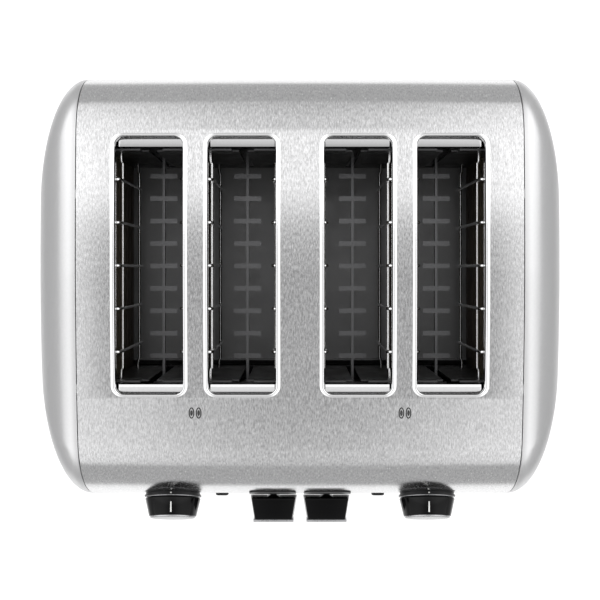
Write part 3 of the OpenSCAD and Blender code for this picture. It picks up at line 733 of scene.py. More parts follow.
@dataclass
class EndCaps:
    """The two domed satin ends."""

    outline: Outline
    wall: float = 2.0 * MM
    wide_power: float = 1.0
    deep_power: float = 0.95
    tall_power: float = 0.7
    widest_z: float = 80 * MM
    foot_share: float = 0.1
    rings: int = 48
    bulge: float = 36 * MM
    lip: float = 0.35 * MM

    def skin(self, path: Sequence[Point2], bulge: float) -> list[list[Point3]]:
        """Rings of points from the seam up to the pole.

        Args:
            path: the outline at the seam.
            bulge: how far the skin's pole lies from the seam.

        Returns:
            The rings; the last one is all at the pole.
        """
        mid, foot = self.outline.middle_y, self.outline.foot_z
        out = []
        for j in range(self.rings + 1):
            a = math.pi / 2 * math.sin(math.pi / 2 * j / self.rings)
            left = max(math.cos(a), 0.0) if j < self.rings else 0.0
            near, high = left ** self.deep_power, left ** self.tall_power
            far = math.sin(a) ** self.wide_power
            ring = []
            for y, z in path:
                zz = foot + (z - foot) * high
                low = max(0.0, (self.widest_z - zz) / (self.widest_z - foot))
                ring.append((bulge * far * (1 - self.foot_share * low * low), mid + (y - mid) * near, zz))
            out.append(ring)
        return out

    def cap(self, side: Side) -> bpy.types.Object:
        """One cap: an outer and an inner skin, joined round the seam and along the foot."""
        low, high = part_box(f"{side.word}_end_cap")
        seam = low.x if side is Side.RIGHT else -high.x
        outer = self.skin(self.outline.points(), self.bulge)
        inner = self.skin(self.outline.points(-self.wall), self.bulge - self.wall)
        rounded = [(self.lip, p[1], p[2]) for p in outer[0]]
        edge = [self.nearer(p, self.lip) for p in outer[0]]
        rows = [edge, rounded] + outer[1:]
        count = len(outer[0])
        verts = [p for ring in rows for p in ring] + [p for ring in inner for p in ring]
        outer_rows, inner_rows = len(rows), len(inner)
        faces: list[Sequence[int]] = list(grid_faces(outer_rows, count))
        skip = outer_rows * count
        faces += [tuple(i + skip for i in f) for f in grid_faces(inner_rows, count)]
        for i in range(count - 1):
            faces.append((i, i + 1, skip + i + 1, skip + i))
        for column in (0, count - 1):
            outer_line = [r * count + column for r in range(outer_rows)]
            inner_line = [skip + r * count + column for r in range(inner_rows)]
            faces += self.zip_lines(outer_line, inner_line)
        x = side.value
        placed = [(x * (seam + p[0]), p[1], p[2]) for p in verts]
        return new_piece(f"{side.word}_satin_cap", placed, faces)

    def nearer(self, p: Point3, amount: float) -> Point3:
        """A seam point pulled in towards the cap's middle, for the seam's rounded edge.

        Args:
            p: the point on the seam.
            amount: how far it is pulled in.

        Returns:
            The pulled point, in the seam's plane.
        """
        mid = Vector((0.0, self.outline.middle_y, self.outline.foot_z + 60 * MM))
        way = Vector((0.0, p[1], max(p[2], mid.z))) - mid
        pulled = Vector((0.0, p[1], p[2])) - way.normalized() * amount
        return (0.0, pulled.y, max(pulled.z, self.outline.foot_z))

    @staticmethod
    def zip_lines(a: Sequence[int], b: Sequence[int]) -> list[Sequence[int]]:
        """Faces between two lines of points that may differ in count.

        Args:
            a: the first line, as indices.
            b: the second line, as indices.

        Returns:
            The triangles between them.
        """
        faces: list[Sequence[int]] = []
        i = j = 0
        while i < len(a) - 1 or j < len(b) - 1:
            if j == len(b) - 1 or (i < len(a) - 1 and i / (len(a) - 1) <= j / (len(b) - 1)):
                faces.append((a[i], a[i + 1], b[j]))
                i += 1
            else:
                faces.append((a[i], b[j + 1], b[j]))
                j += 1
        return faces

    def build(self, bench: Bench) -> None:
        """Makes both caps and hands them over."""
        for side in Side:
            bench.hand_over(self.cap(side), "root", CAP, [f"{side.word}_end_cap"])


@dataclass
class SlotRims:
    """The polished rims: a rolled bead on the panel that turns down into each well."""

    outline: Outline
    side_lip: float = 2.7 * MM
    end_lip: float = 1.8 * MM
    proud: float = 0.75 * MM
    corner: float = 5.0 * MM
    collar_wall: float = 0.8 * MM
    collar_drop: float = 9.0 * MM
    ramp_wall: float = 0.7 * MM
    ramp_side_gap: float = 0.7 * MM
    ramp_top: float = 6.5 * MM
    ramp_knee: float = 12.0 * MM
    ramp_bend: float = 6.3 * MM
    side_steps: int = 36

    def section(self, lip: float) -> list[tuple[float, float, bool]]:
        """Points round the rim's cross-section.

        Args:
            lip: how wide the bead lies on the panel.

        Returns:
            (distance out from the opening, height, whether the height is above the panel).
        """
        crest = 0.42 * lip
        out = [(lip, 0.01 * MM, True)]
        for i in range(1, 9):
            t = i / 8
            out.append((lip + (crest - lip) * t, self.proud * math.sin(math.pi / 2 * t) ** 1.3, True))
        for i in range(1, 7):
            a = math.pi / 2 * i / 6
            out.append((crest * (1 - math.sin(a)), self.proud - crest * 1.3 * (1 - math.cos(a)), True))
        collar_z = self.outline.height - self.collar_drop
        out += [(0.0, collar_z + 0.4 * MM, False), (0.25 * MM, collar_z, False)]
        out += [(self.collar_wall, collar_z, False), (self.collar_wall, -1.3 * MM, True)]
        out += [(lip * 0.97, -0.01 * MM, True)]
        return out

    def rim(self, k: int) -> bpy.types.Object:
        """The bead and collar of one slot."""
        low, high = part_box(f"slot_trim_{k}")
        cx, cy = (low.x + high.x) / 2, (low.y + high.y) / 2
        w = high.x - low.x - 2 * self.side_lip
        l = high.y - low.y - 2 * self.end_lip
        rings = []
        for (px, py), (nx, ny) in rounded_rectangle(w, l, self.corner, 10, self.side_steps):
            lip = math.hypot(self.side_lip * nx, self.end_lip * ny)
            ring = []
            for u, v, on_panel in self.section(lip):
                x, y = cx + px + nx * u, cy + py + ny * u
                ring.append((x, y, self.outline.top_z(y) + v if on_panel else v))
            rings.append(ring)
        return loft(f"rim_bead_{k}", rings, closed=True)

    def ramps(self, k: int) -> list[bpy.types.Object]:
        """The lead-ins at the two ends of one slot: sheets that curve in below the collar."""
        low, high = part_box(f"slot_trim_{k}")
        cx, cy = (low.x + high.x) / 2, (low.y + high.y) / 2
        half_w = (high.x - low.x) / 2 - self.side_lip - self.ramp_side_gap
        half_l = (high.y - low.y) / 2 - self.end_lip
        top = self.outline.height - self.ramp_top
        knee = self.outline.height - self.ramp_knee
        path = [(half_l + 0.3 * MM, top), (half_l + 0.1 * MM, (top + knee) / 2)]
        path += [(half_l - self.ramp_bend * (1 - math.cos(a)), knee - self.ramp_bend * 0.6 * math.sin(a))
                 for a in (math.radians(78) * i / 10 for i in range(11))]
        out = []
        for end in (-1, 1):
            rings = []
            for i, (y, z) in enumerate(path):
                a, b = path[max(i - 1, 0)], path[min(i + 1, len(path) - 1)]
                long = math.hypot(b[0] - a[0], b[1] - a[1])
                ny, nz = -(b[1] - a[1]) / long * self.ramp_wall, (b[0] - a[0]) / long * self.ramp_wall
                rings.append([(cx - half_w, cy + end * y, z), (cx + half_w, cy + end * y, z),
                              (cx + half_w, cy + end * (y + ny), z + nz),
                              (cx - half_w, cy + end * (y + ny), z + nz)])
            out.append(loft(f"ramp_{k}_{end}", rings))
        return out

    def build(self, bench: Bench) -> None:
        """Makes the four rims and hands them over."""
        for k in range(1, 5):
            piece = joined(f"slot_rim_{k}", [self.rim(k), *self.ramps(k)])
            bench.hand_over(piece, "root", RIM, [f"slot_trim_{k}"])


@dataclass
class PrintedMarks:
    """The small two-ring marks printed on the panel, one for each pair of slots."""

    outline: Outline
    middle_x: float = 60.3 * MM
    from_rim: float = 9.0 * MM
    ring_w: float = 3.3 * MM
    ring_l: float = 6.6 * MM
    apart: float = 4.1 * MM
    line: float = 0.7 * MM
    ink: float = 0.04 * MM

    def ring(self, name: str, cx: float, cy: float, w: float, l: float) -> bpy.types.Object:
        """An oval line of ink that lies on the panel.

        Args:
            name: the line's name.
            cx: its middle along X.
            cy: its middle along Y.
            w: its width.
            l: its length.

        Returns:
            The oval.
        """
        rings = []
        for i in range(48):
            a = 2 * math.pi * i / 48
            ring = []
            for inset, lift in ((0.0, 0.0), (0.0, 1.0), (self.line, 1.0), (self.line, 0.0)):
                x = cx + (w / 2 - inset) * math.cos(a)
                y = cy + (l / 2 - inset) * math.sin(a)
                ring.append((x, y, self.outline.top_z(y) + self.ink * (lift * 1.5 - 0.5)))
            rings.append(ring)
        return loft(name, rings, closed=True)

    def build(self, bench: Bench) -> None:
        """Prints both marks."""
        low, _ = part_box("slot_trim_1")
        cy = low.y - self.from_rim
        for side in Side:
            ovals = []
            for way in (-1, 1):
                cx = side.value * self.middle_x + way * self.apart / 2
                ovals.append(self.ring(f"oval_{way}", cx, cy, self.ring_w, self.ring_l))
                ovals.append(self.ring(f"core_{way}", cx, cy, self.ring_w * 0.44, self.ring_l * 0.5))
            piece = joined(f"{side.word}_ring_mark", ovals)
            bench.hand_over(piece, "root", MARK_BLACK)


# ---- Chamber ----


class WireTree:
    """A node tree that makes one bread guide: two long wires and a row of uprights."""

    INPUTS = (("Upright Count", "NodeSocketInt"), ("Upright Pitch", "NodeSocketFloat"),
              ("Wire Radius", "NodeSocketFloat"), ("Low", "NodeSocketFloat"),
              ("High", "NodeSocketFloat"), ("Long Low", "NodeSocketFloat"),
              ("Long High", "NodeSocketFloat"), ("Half Length", "NodeSocketFloat"),
              ("Hook", "NodeSocketFloat"), ("Set Back", "NodeSocketFloat"),
              ("Finish", "NodeSocketMaterial"))

    def __init__(self) -> None:
        """Builds the tree and its named inputs."""
        self.tree = bpy.data.node_groups.new("bread_guide_wires", "GeometryNodeTree")
        face = self.tree.interface
        face.new_socket("Geometry", in_out="OUTPUT", socket_type="NodeSocketGeometry")
        self.ids = {n: face.new_socket(n, in_out="INPUT", socket_type=t).identifier for n, t in self.INPUTS}
        self.enter = self.node("NodeGroupInput")
        parts = [self.uprights(), self.long_wire("Long Low"), self.long_wire("Long High")]
        tubes = self.node("GeometryNodeCurveToMesh")
        tubes.inputs["Fill Caps"].default_value = True
        round_wire = self.node("GeometryNodeCurvePrimitiveCircle")
        round_wire.inputs["Resolution"].default_value = 12
        self.link(self.value("Wire Radius"), round_wire.inputs["Radius"])
        together = self.node("GeometryNodeJoinGeometry")
        for part in parts:
            self.link(part, together.inputs["Geometry"])
        self.link(together.outputs["Geometry"], tubes.inputs["Curve"])
        self.link(round_wire.outputs["Curve"], tubes.inputs["Profile Curve"])
        real = self.node("GeometryNodeRealizeInstances")
        coated = self.node("GeometryNodeSetMaterial")
        smooth = self.node("GeometryNodeSetShadeSmooth")
        self.link(tubes.outputs["Mesh"], smooth.inputs["Geometry"])
        self.link(smooth.outputs["Geometry"], real.inputs["Geometry"])
        self.link(real.outputs["Geometry"], coated.inputs["Geometry"])
        self.link(self.value("Finish"), coated.inputs["Material"])
        leave = self.node("NodeGroupOutput")
        self.link(coated.outputs["Geometry"], leave.inputs["Geometry"])

    def node(self, kind: str) -> bpy.types.Node:
        """A new node of a kind."""
        return self.tree.nodes.new(kind)

    def link(self, a: bpy.types.NodeSocket, b: bpy.types.NodeSocket) -> None:
        """Joins an output to an input."""
        self.tree.links.new(a, b)

    def value(self, name: str) -> bpy.types.NodeSocket:
        """A named input, as a socket inside the tree."""
        return self.enter.outputs[name]

    def math(self, operation: str, a: object, b: object) -> bpy.types.NodeSocket:
        """The result of a sum.

        Args:
            operation: the sum, as a Math node spells it.
            a: the first socket or number.
            b: the second socket or number.

        Returns:
            The result's socket.
        """
        step = self.node("ShaderNodeMath")
        step.operation = operation
        for socket, given in zip(step.inputs, (a, b)):
            if isinstance(given, (int, float)):
                socket.default_value = given
            else:
                self.link(given, socket)
        return step.outputs["Value"]

    def point(self, x: object, y: object, z: object) -> bpy.types.NodeSocket:
        """A vector from three sockets or numbers."""
        made = self.node("ShaderNodeCombineXYZ")
        for socket, given in zip(made.inputs, (x, y, z)):
            if isinstance(given, (int, float)):
                socket.default_value = given
            else:
                self.link(given, socket)
        return made.outputs["Vector"]

    def bent(self, a: bpy.types.NodeSocket, handle: bpy.types.NodeSocket,
             b: bpy.types.NodeSocket) -> bpy.types.NodeSocket:
        """A curve from a to b that leans towards a handle."""
        curve = self.node("GeometryNodeCurveQuadraticBezier")
        curve.inputs["Resolution"].default_value = 8
        for name, given in (("Start", a), ("Middle", handle), ("End", b)):
            self.link(given, curve.inputs[name])
        return curve.outputs["Curve"]

    def straight(self, a: bpy.types.NodeSocket, b: bpy.types.NodeSocket) -> bpy.types.NodeSocket:
        """A straight curve."""
        line = self.node("GeometryNodeCurvePrimitiveLine")
        self.link(a, line.inputs["Start"])
        self.link(b, line.inputs["End"])
        return line.outputs["Curve"]

    def merged(self, *parts: bpy.types.NodeSocket) -> bpy.types.NodeSocket:
        """Several geometries as one."""
        together = self.node("GeometryNodeJoinGeometry")
        for part in parts:
            self.link(part, together.inputs["Geometry"])
        return together.outputs["Geometry"]

    def uprights(self) -> bpy.types.NodeSocket:
        """The row of upright wires, each hooked outwards at its top."""
        hook, high = self.value("Hook"), self.value("High")
        bend_z = self.math("SUBTRACT", high, self.math("MULTIPLY", hook, 2.2))
        foot = self.point(0.0, 0.0, self.value("Low"))
        knee = self.point(0.0, 0.0, bend_z)
        upright = self.merged(
            self.straight(foot, knee),
            self.bent(knee, self.point(0.0, 0.0, high), self.point(hook, 0.0, high)))
        gap = self.value("Upright Pitch")
        first = self.math("MULTIPLY", self.math("MULTIPLY", self.math(
            "SUBTRACT", self.value("Upright Count"), 1.0), gap), -0.5)
        row = self.node("GeometryNodeMeshLine")
        self.link(self.value("Upright Count"), row.inputs["Count"])
        self.link(self.point(0.0, first, 0.0), row.inputs["Start Location"])
        self.link(self.point(0.0, gap, 0.0), row.inputs["Offset"])
        spread = self.node("GeometryNodeInstanceOnPoints")
        self.link(row.outputs["Mesh"], spread.inputs["Points"])
        self.link(upright, spread.inputs["Instance"])
        real = self.node("GeometryNodeRealizeInstances")
        self.link(spread.outputs["Instances"], real.inputs["Geometry"])
        return real.outputs["Geometry"]

    def long_wire(self, height: str) -> bpy.types.NodeSocket:
        """A long wire, with its ends jogged outwards to reach through the end plates."""
        z = self.value(height)
        back, half = self.value("Set Back"), self.value("Half Length")
        jogged = self.math("ADD", back, 0.9 * MM)
        near = self.math("SUBTRACT", half, 9 * MM)
        far = self.math("SUBTRACT", half, 5 * MM)
        parts = [self.straight(
            self.point(back, self.math("MULTIPLY", near, -1.0), z), self.point(back, near, z))]
        for way in (-1.0, 1.0):
            a, b, c = (self.math("MULTIPLY", v, way) for v in (near, far, half))
            start, corner, end = self.point(back, a, z), self.point(jogged, a, z), self.point(jogged, b, z)
            parts.append(self.bent(start, corner, end))
            parts.append(self.straight(self.point(jogged, b, z), self.point(jogged, c, z)))
        return self.merged(*parts)


@dataclass
class BreadGuides:
    """The eight wire frames that close on the bread."""

    outline: Outline
    pitch: float = 25 * MM
    uprights: int = 5
    wire_r: float = 0.9 * MM
    low_wire_z: float = 62 * MM
    high_wire_drop: float = 39 * MM
    hook: float = 3.2 * MM

    def build(self, bench: Bench) -> None:
        """Makes each guide from the one node tree and hands it over."""
        tree = WireTree()
        for k in range(1, 5):
            for letter, way in (("a", -1), ("b", 1)):
                node = f"bread_guide_{k}{letter}"
                low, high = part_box(node)
                middle_y = (low.y + high.y) / 2
                inner_x = (high.x if way < 0 else low.x) + way * self.wire_r
                piece = bpy.data.objects.new(f"guide_wires_{k}{letter}", bpy.data.meshes.new(node))
                bpy.context.scene.collection.objects.link(piece)
                made = piece.modifiers.new("wires", "NODES")
                made.node_group = tree.tree
                values = {
                    "Upright Count": self.uprights, "Upright Pitch": self.pitch,
                    "Wire Radius": self.wire_r, "Low": low.z, "High": high.z - self.wire_r,
                    "Long Low": self.low_wire_z,
                    "Long High": self.outline.height - self.high_wire_drop,
                    "Half Length": (high.y - low.y) / 2, "Hook": self.hook - self.wire_r,
                    "Set Back": 1.7 * self.wire_r, "Finish": WIRE.material(),
                }
                for name, value in values.items():
                    made[tree.ids[name]] = value
                settle(piece, 60.0)
                piece.data.transform(Matrix.Translation((inner_x, middle_y, 0.0))
                                     @ Matrix.Diagonal((way, 1.0, 1.0, 1.0)))
                turn_outwards(piece.data)
                finish_shading(piece.data, 60.0)
                bench.hand_over(piece, f"guide_{k}{letter}", WIRE, [node])


@dataclass
class Springs:
    """The carriages' return springs, coiled at one length."""

    turns: int = 12
    wire: float = 0.45 * MM
    steps: int = 20
    sides: int = 8
    pressed: float = 0.17

    def build(self, bench: Bench) -> None:
        """Coils both springs and hands them over to the fixed body."""
        for side in Side:
            node = f"{side.word}_return_spring"
            low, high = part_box(node)
            cx, cy = (low.x + high.x) / 2, (low.y + high.y) / 2
            coil_r = (high.x - low.x) / 2 - self.wire
            count = self.turns * self.steps
            rise = high.z - low.z - 2 * self.wire
            rings = []
            for i in range(count + 1):
                a = 2 * math.pi * i / self.steps
                ring = []
                for k in range(self.sides):
                    b = 2 * math.pi * k / self.sides
                    r = coil_r + self.wire * math.cos(b)
                    z = low.z + self.wire + rise * i / count + self.wire * math.sin(b)
                    ring.append((cx + r * math.cos(a), cy + r * math.sin(a), z))
                rings.append(ring)
            piece = loft(f"{side.word}_coil_spring", rings)
            bench.hand_over(piece, "root", SCREW, [node])
            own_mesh(piece)


# ---- Controls ----


@dataclass(frozen=True)
class DialSizes:
    """Sizes of a dial, along and about its own axis."""

    ring_r: float = 16.5 * MM
    ring_front_r: float = 17.5 * MM
    ring_proud: float = 3.0 * MM
    knob_back_r: float = 16.9 * MM
    knob_front_r: float = 14.5 * MM
    knob_back: float = 3.4 * MM
    knob_l: float = 11.1 * MM
    face_r: float = 14.0 * MM
    face_l: float = 1.5 * MM
    shaft_r: float = 3.0 * MM
    shaft_back: float = -20.4 * MM


def dial_seat(side: Side) -> Matrix:
    """A dial's own axes: +Z out along its axis and +Y up the sloped face."""
    joint = next(j for j in frame["joints"] if j["name"] == f"{side.word}_dial_turn")
    out = Vector(joint["axis"]).normalized()
    right = Vector((1.0, 0.0, 0.0))
    up = out.cross(right).normalized()
    turn = Matrix((right, up, out)).transposed().to_4x4()
    return Matrix.Translation(Vector(joint["pos_m"])) @ turn


@dataclass
class Dials:
    """The two browning dials, each with its ring, knob, face and pointer."""

    sizes: DialSizes = field(default_factory=DialSizes)
    pointer_w: float = 1.2 * MM

    def ring(self, side: Side) -> bpy.types.Object:
        """The black flared ring on the panel."""
        s = self.sizes
        front = arc((s.ring_front_r - 0.5 * MM, s.ring_proud - 0.9 * MM), 0.5 * MM, 0, 60, 4)
        profile = [(s.shaft_r + 0.3 * MM, -6 * MM), (s.ring_r, -6 * MM), (s.ring_r, 0.4 * MM),
                   (s.ring_r + 0.25 * MM, 1.0 * MM), *front,
                   (s.ring_front_r - 0.8 * MM, s.ring_proud - 0.35 * MM),
                   (s.ring_r - 3 * MM, s.ring_proud - 0.35 * MM), (s.ring_r - 3 * MM, -4 * MM),
                   (s.shaft_r + 0.3 * MM, -4 * MM)]
        return lathe(f"{side.word}_flared_ring", profile, dial_seat(side))

    def band(self, side: Side) -> bpy.types.Object:
        """The thin bright band round the ring's front edge."""
        s = self.sizes
        r, z = s.ring_front_r - 0.75 * MM, s.ring_proud - 0.35 * MM
        profile = [(r - 1.2 * MM, z), (r, z), *arc((r - 0.2 * MM, z + 0.1 * MM), 0.2 * MM, 0, 90, 3),
                   (r - 1.2 * MM, z + 0.3 * MM)]
        return lathe(f"{side.word}_ring_band", profile, dial_seat(side))

    def knob(self, side: Side) -> bpy.types.Object:
        """The tapered knob with its shaft."""
        s = self.sizes
        front = s.knob_back + s.knob_l
        corner = 0.7 * MM
        wide = arc((s.knob_back_r - corner, s.knob_back + corner), corner, -90, 0, 5)
        narrow = arc((s.knob_front_r - 0.35 * MM, front - 0.4 * MM), 0.4 * MM, 5, 90, 4)
        profile = [(0.0, s.shaft_back), (s.shaft_r, s.shaft_back), (s.shaft_r, s.knob_back),
                   *wide, *narrow, (s.face_r - 0.9 * MM, front), (s.face_r - 0.9 * MM, front - 0.3 * MM),
                   (0.0, front - 0.3 * MM)]
        return lathe(f"{side.word}_black_knob", profile, dial_seat(side), 128)

    def face(self, side: Side) -> bpy.types.Object:
        """The slightly domed silver face, with a rolled edge."""
        s = self.sizes
        z = s.knob_back + s.knob_l
        side_h = 0.35 * MM
        rise = 0.25 * MM
        roll = s.face_l - rise - side_h
        edge = [(s.face_r - 1.5 * MM * (1 - math.cos(a)), z + side_h + roll * math.sin(a))
                for a in (math.pi / 2 * i / 8 for i in range(9))]
        rim_r = edge[-1][0]
        dome = [(rim_r * (1 - i / 10), z + s.face_l - rise * (1 - i / 10) ** 2) for i in range(1, 11)]
        profile = [(0.0, z + 0.02 * MM), (s.face_r - 0.1 * MM, z + 0.02 * MM), *edge, *dome]
        return lathe(f"{side.word}_silver_face", profile, dial_seat(side), 128)

    def pointer(self, side: Side) -> bpy.types.Object:
        """The white line down the knob's upper side."""
        s = self.sizes
        seat = dial_seat(side)
        rings = []
        for i in range(9):
            t = 0.14 + 0.72 * i / 8
            z = s.knob_back + s.knob_l * t
            r = s.knob_back_r + (s.knob_front_r - s.knob_back_r) * t
            ring = []
            for x, lift in ((-1, -0.15), (-0.6, 0.10), (0.6, 0.10), (1, -0.15), (0.6, -0.4), (-0.6, -0.4)):
                ring.append(seat @ Vector((x * self.pointer_w / 2, r + lift * MM, z)))
            rings.append(ring)
        return loft(f"{side.word}_pointer", rings)

    def index(self, side: Side) -> bpy.types.Object:
        """The small white mark on the ring at its top."""
        s = self.sizes
        seat = dial_seat(side)
        rings = []
        for i in range(5):
            t = i / 4
            z = 1.0 * MM + 1.2 * MM * t
            r = s.ring_r + 0.28 * MM + 0.62 * MM * t
            half = 0.55 * MM
            rings.append([seat @ Vector((x * half, r + lift * MM, z))
                          for x, lift in ((-1, -0.1), (-0.7, 0.09), (0.7, 0.09), (1, -0.1))])
        return loft(f"{side.word}_index_mark", rings)

    def build(self, bench: Bench) -> None:
        """Makes both dials and hands their pieces over."""
        for side in Side:
            w, body = side.word, f"{side.word}_dial"
            bench.hand_over(self.ring(side), "root", SATIN_BLACK, [f"{w}_dial_ring"])
            bench.hand_over(self.band(side), "root", DIAL_SILVER)
            bench.hand_over(self.index(side), "root", MARK_WHITE)
            bench.hand_over(self.knob(side), body, GLOSS_BLACK, [f"{w}_dial_knob"])
            bench.hand_over(self.face(side), body, DIAL_SILVER, [f"{w}_dial_face"])
            bench.hand_over(self.pointer(side), body, MARK_WHITE)


@dataclass(frozen=True)
class LeverSizes:
    """Sizes of a lever, its arm and the slot that the arm runs in."""

    arm_w: float = 3.7 * MM
    arm_h: float = 10.0 * MM
    arm_drop: float = 0.5 * MM
    arm_slot_w: float = 5.0 * MM
    escutcheon_proud: float = 0.8 * MM
    top_narrowing: float = 1.1 * MM
    edge: float = 0.8 * MM


@dataclass
class Levers:
    """The two levers: black paddles with a silver strip, and the slotted plates they run in."""

    outline: Outline
    sizes: LeverSizes = field(default_factory=LeverSizes)

    def paddle(self, side: Side) -> bpy.types.Object:
        """The paddle, with flared flanks and a neck that reaches back into the slot."""
        low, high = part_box(f"{side.word}_lever")
        cx, half = (low.x + high.x) / 2, (high.x - low.x) / 2
        trim_low, trim_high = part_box(f"{side.word}_lever_trim")
        tip = (trim_high.x - trim_low.x) / 2
        n = self.sizes.top_narrowing
        ring = lambda y, h: [(cx - h, y, low.z), (cx + h, y, low.z),
                             (cx + h - n * 0.2, y, low.z + 2.5 * MM), (cx + h - n, y, high.z),
                             (cx - h + n, y, high.z), (cx - h + n * 0.2, y, low.z + 2.5 * MM)]
        rings = [ring(high.y - (high.y - low.y) * i / 3, half + (tip - half) * i / 3) for i in range(4)]
        body = softened(loft("paddle_body", rings), self.sizes.edge, 3)
        mid = (low.z + high.z) / 2 - self.sizes.arm_drop
        neck_rings = []
        for y, grow in ((high.y + 7 * MM, 0.0), (high.y + 1.5 * MM, 0.0), (high.y + 0.9 * MM, 0.5),
                        (high.y + 0.4 * MM, 1.3), (high.y - 0.3 * MM, 2.8)):
            w = self.sizes.arm_w / 2 + 0.22 * MM + grow * MM
            h = self.sizes.arm_h / 2 + 0.25 * MM + grow * 0.6 * MM
            shape = rounded_rectangle(2 * w, 2 * h, 0.8 * MM, 4)
            neck_rings.append([(cx + p[0], y, mid + p[1]) for p, _ in shape])
        return joined(f"{side.word}_paddle", [body, loft("paddle_neck", neck_rings)])

    def strip(self, side: Side) -> bpy.types.Object:
        """The silver strip on the paddle's front."""
        low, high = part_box(f"{side.word}_lever_trim")
        return softened(block(f"{side.word}_paddle_strip", low, high), 0.45 * MM, 3)

    def plate(self, side: Side) -> bpy.types.Object:
        """The slotted plate, bent to the face, with a dished slot and a liner through the panel."""
        low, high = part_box(f"{side.word}_escutcheon")
        cx, half = (low.x + high.x) / 2, (high.x - low.x) / 2
        s = self.sizes
        x, z, w, h, r = lever_window(side, 0.0)
        layer = lambda name, inner, outer, lo_z, hi_z, half_w: self.layer(
            name, inner, outer, lo_z, hi_z, cx - half_w, cx + half_w)
        skin = layer("plate_skin", 0.02 * MM, s.escutcheon_proud, low.z, high.z, half)
        corners = self.corner_cutters(cx, (low.z + high.z) / 2, 2 * half, high.z - low.z, 5 * MM)
        cut_away(skin, [corners, front_prism("slot", x, z, w, h, r)], 30.0)
        softened(skin, 0.3 * MM, 2)
        dish = self.dish(side)
        cut_away(skin, [dish], 30.0)
        liner = self.liner(side)
        return joined(f"{side.word}_slot_plate", [skin, liner])

    def layer(self, name: str, inner: float, outer: float, low_z: float, high_z: float,
              low_x: float, high_x: float) -> bpy.types.Object:
        """A stretch of the layer between two offsets of the front face.

        Args:
            name: the layer's name.
            inner: how far out its back lies.
            outer: how far out its front lies.
            low_z: where it ends.
            high_z: where it starts.
            low_x: its left edge.
            high_x: its right edge.

        Returns:
            The layer, bent as the face is.
        """
        steps = 5 * self.outline.steps
        a = [p for p in self.outline.points(inner)[4 * self.outline.steps:] if low_z <= p[1] <= high_z]
        b = [p for p in self.outline.points(outer)[4 * self.outline.steps:] if low_z <= p[1] <= high_z]
        count = min(len(a), len(b), steps)
        rings = []
        for i in range(count + 1):
            z = high_z + (low_z - high_z) * i / count
            y1 = self.at_height(self.outline.points(inner), z)
            y2 = self.at_height(self.outline.points(outer), z)
            rings.append([(low_x, y1, z), (high_x, y1, z), (high_x, y2, z), (low_x, y2, z)])
        return loft(name, rings)

    def at_height(self, path: Sequence[Point2], z: float) -> float:
        """Y of the front part of an outline at a height.

        Args:
            path: the outline's points.
            z: the height.

        Returns:
            The place along Y.
        """
        front = path[4 * self.outline.steps:]
        for (y1, z1), (y2, z2) in zip(front, front[1:]):
            if z2 <= z <= z1:
                return y2 + (y1 - y2) * (z - z2) / max(z1 - z2, 1e-9)
        return front[-1][0]

    def corner_cutters(self, x: float, z: float, width: float, height: float,
                       radius: float) -> bpy.types.Object:
        """A frame whose hole is the plate's rounded outline.

        Args:
            x: the plate's middle along X.
            z: the plate's middle along Z.
            width: the plate's width.
            height: the plate's height.
            radius: the plate's corner radius.

        Returns:
            The frame, to cut with.
        """
        low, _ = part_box("top_shell")
        shape = [p for p, _ in rounded_rectangle(width, height, radius, 8)]
        inner = [(x + p[0], z + p[1]) for p in shape]
        grow = 6 * MM
        outer = [(x + p[0] + math.copysign(grow, p[0]), z + p[1] + math.copysign(grow, p[1]))
                 for p in shape]
        near, far = low.y - 20 * MM, low.y + 22 * MM
        rings = [[(o[0], near, o[1]), (o[0], far, o[1]), (i[0], far, i[1]), (i[0], near, i[1])]
                 for o, i in zip(outer, inner)]
        return loft("outline_cut", rings, closed=True)

    def dish(self, side: Side) -> bpy.types.Object:
        """The dished recess round the slot, deepest at the slot's edge."""
        x, z, w, h, _ = lever_window(side, 0.0)
        rings = []
        proud = self.sizes.escutcheon_proud
        for depth, grow in ((proud + 3 * MM, 5.6 * MM), (proud, 3.2 * MM), (0.34 * MM, 1.4 * MM),
                            (0.3 * MM, 0.9 * MM)):
            shape = rounded_rectangle(w + 2 * grow, h + 2 * grow, 1.6 * MM + grow * 0.8, 8, 40)
            ring = []
            for p, _ in shape:
                zz = z + p[1]
                ring.append((x + p[0], self.outline.face_y(zz) - depth, zz))
            rings.append(ring)
        return loft("dish_cut", rings)

    def liner(self, side: Side) -> bpy.types.Object:
        """The sleeve that lines the slot through the panel."""
        x, z, w, h, r = lever_window(side, 0.0)
        rings = []
        for p, n in rounded_rectangle(w, h, r, 6, 30):
            ring = []
            for out, depth in ((0.02, 0.3), (1.55, 0.3), (1.55, -3.0), (0.02, -3.0)):
                zz = z + p[1] + n[1] * out * MM
                ring.append((x + p[0] + n[0] * out * MM, self.outline.face_y(zz) - depth * MM, zz))
            rings.append(ring)
        return loft("slot_liner", rings, closed=True)

    def build(self, bench: Bench) -> None:
        """Makes both levers and their plates and hands them over."""
        for side in Side:
            w, body = side.word, f"{side.word}_carriage_body"
            bench.hand_over(self.paddle(side), body, GLOSS_BLACK, [f"{w}_lever"])
            bench.hand_over(self.strip(side), body, DIAL_SILVER, [f"{w}_lever_trim"])
            bench.hand_over(self.plate(side), "root", SATIN_BLACK, [f"{w}_escutcheon"])


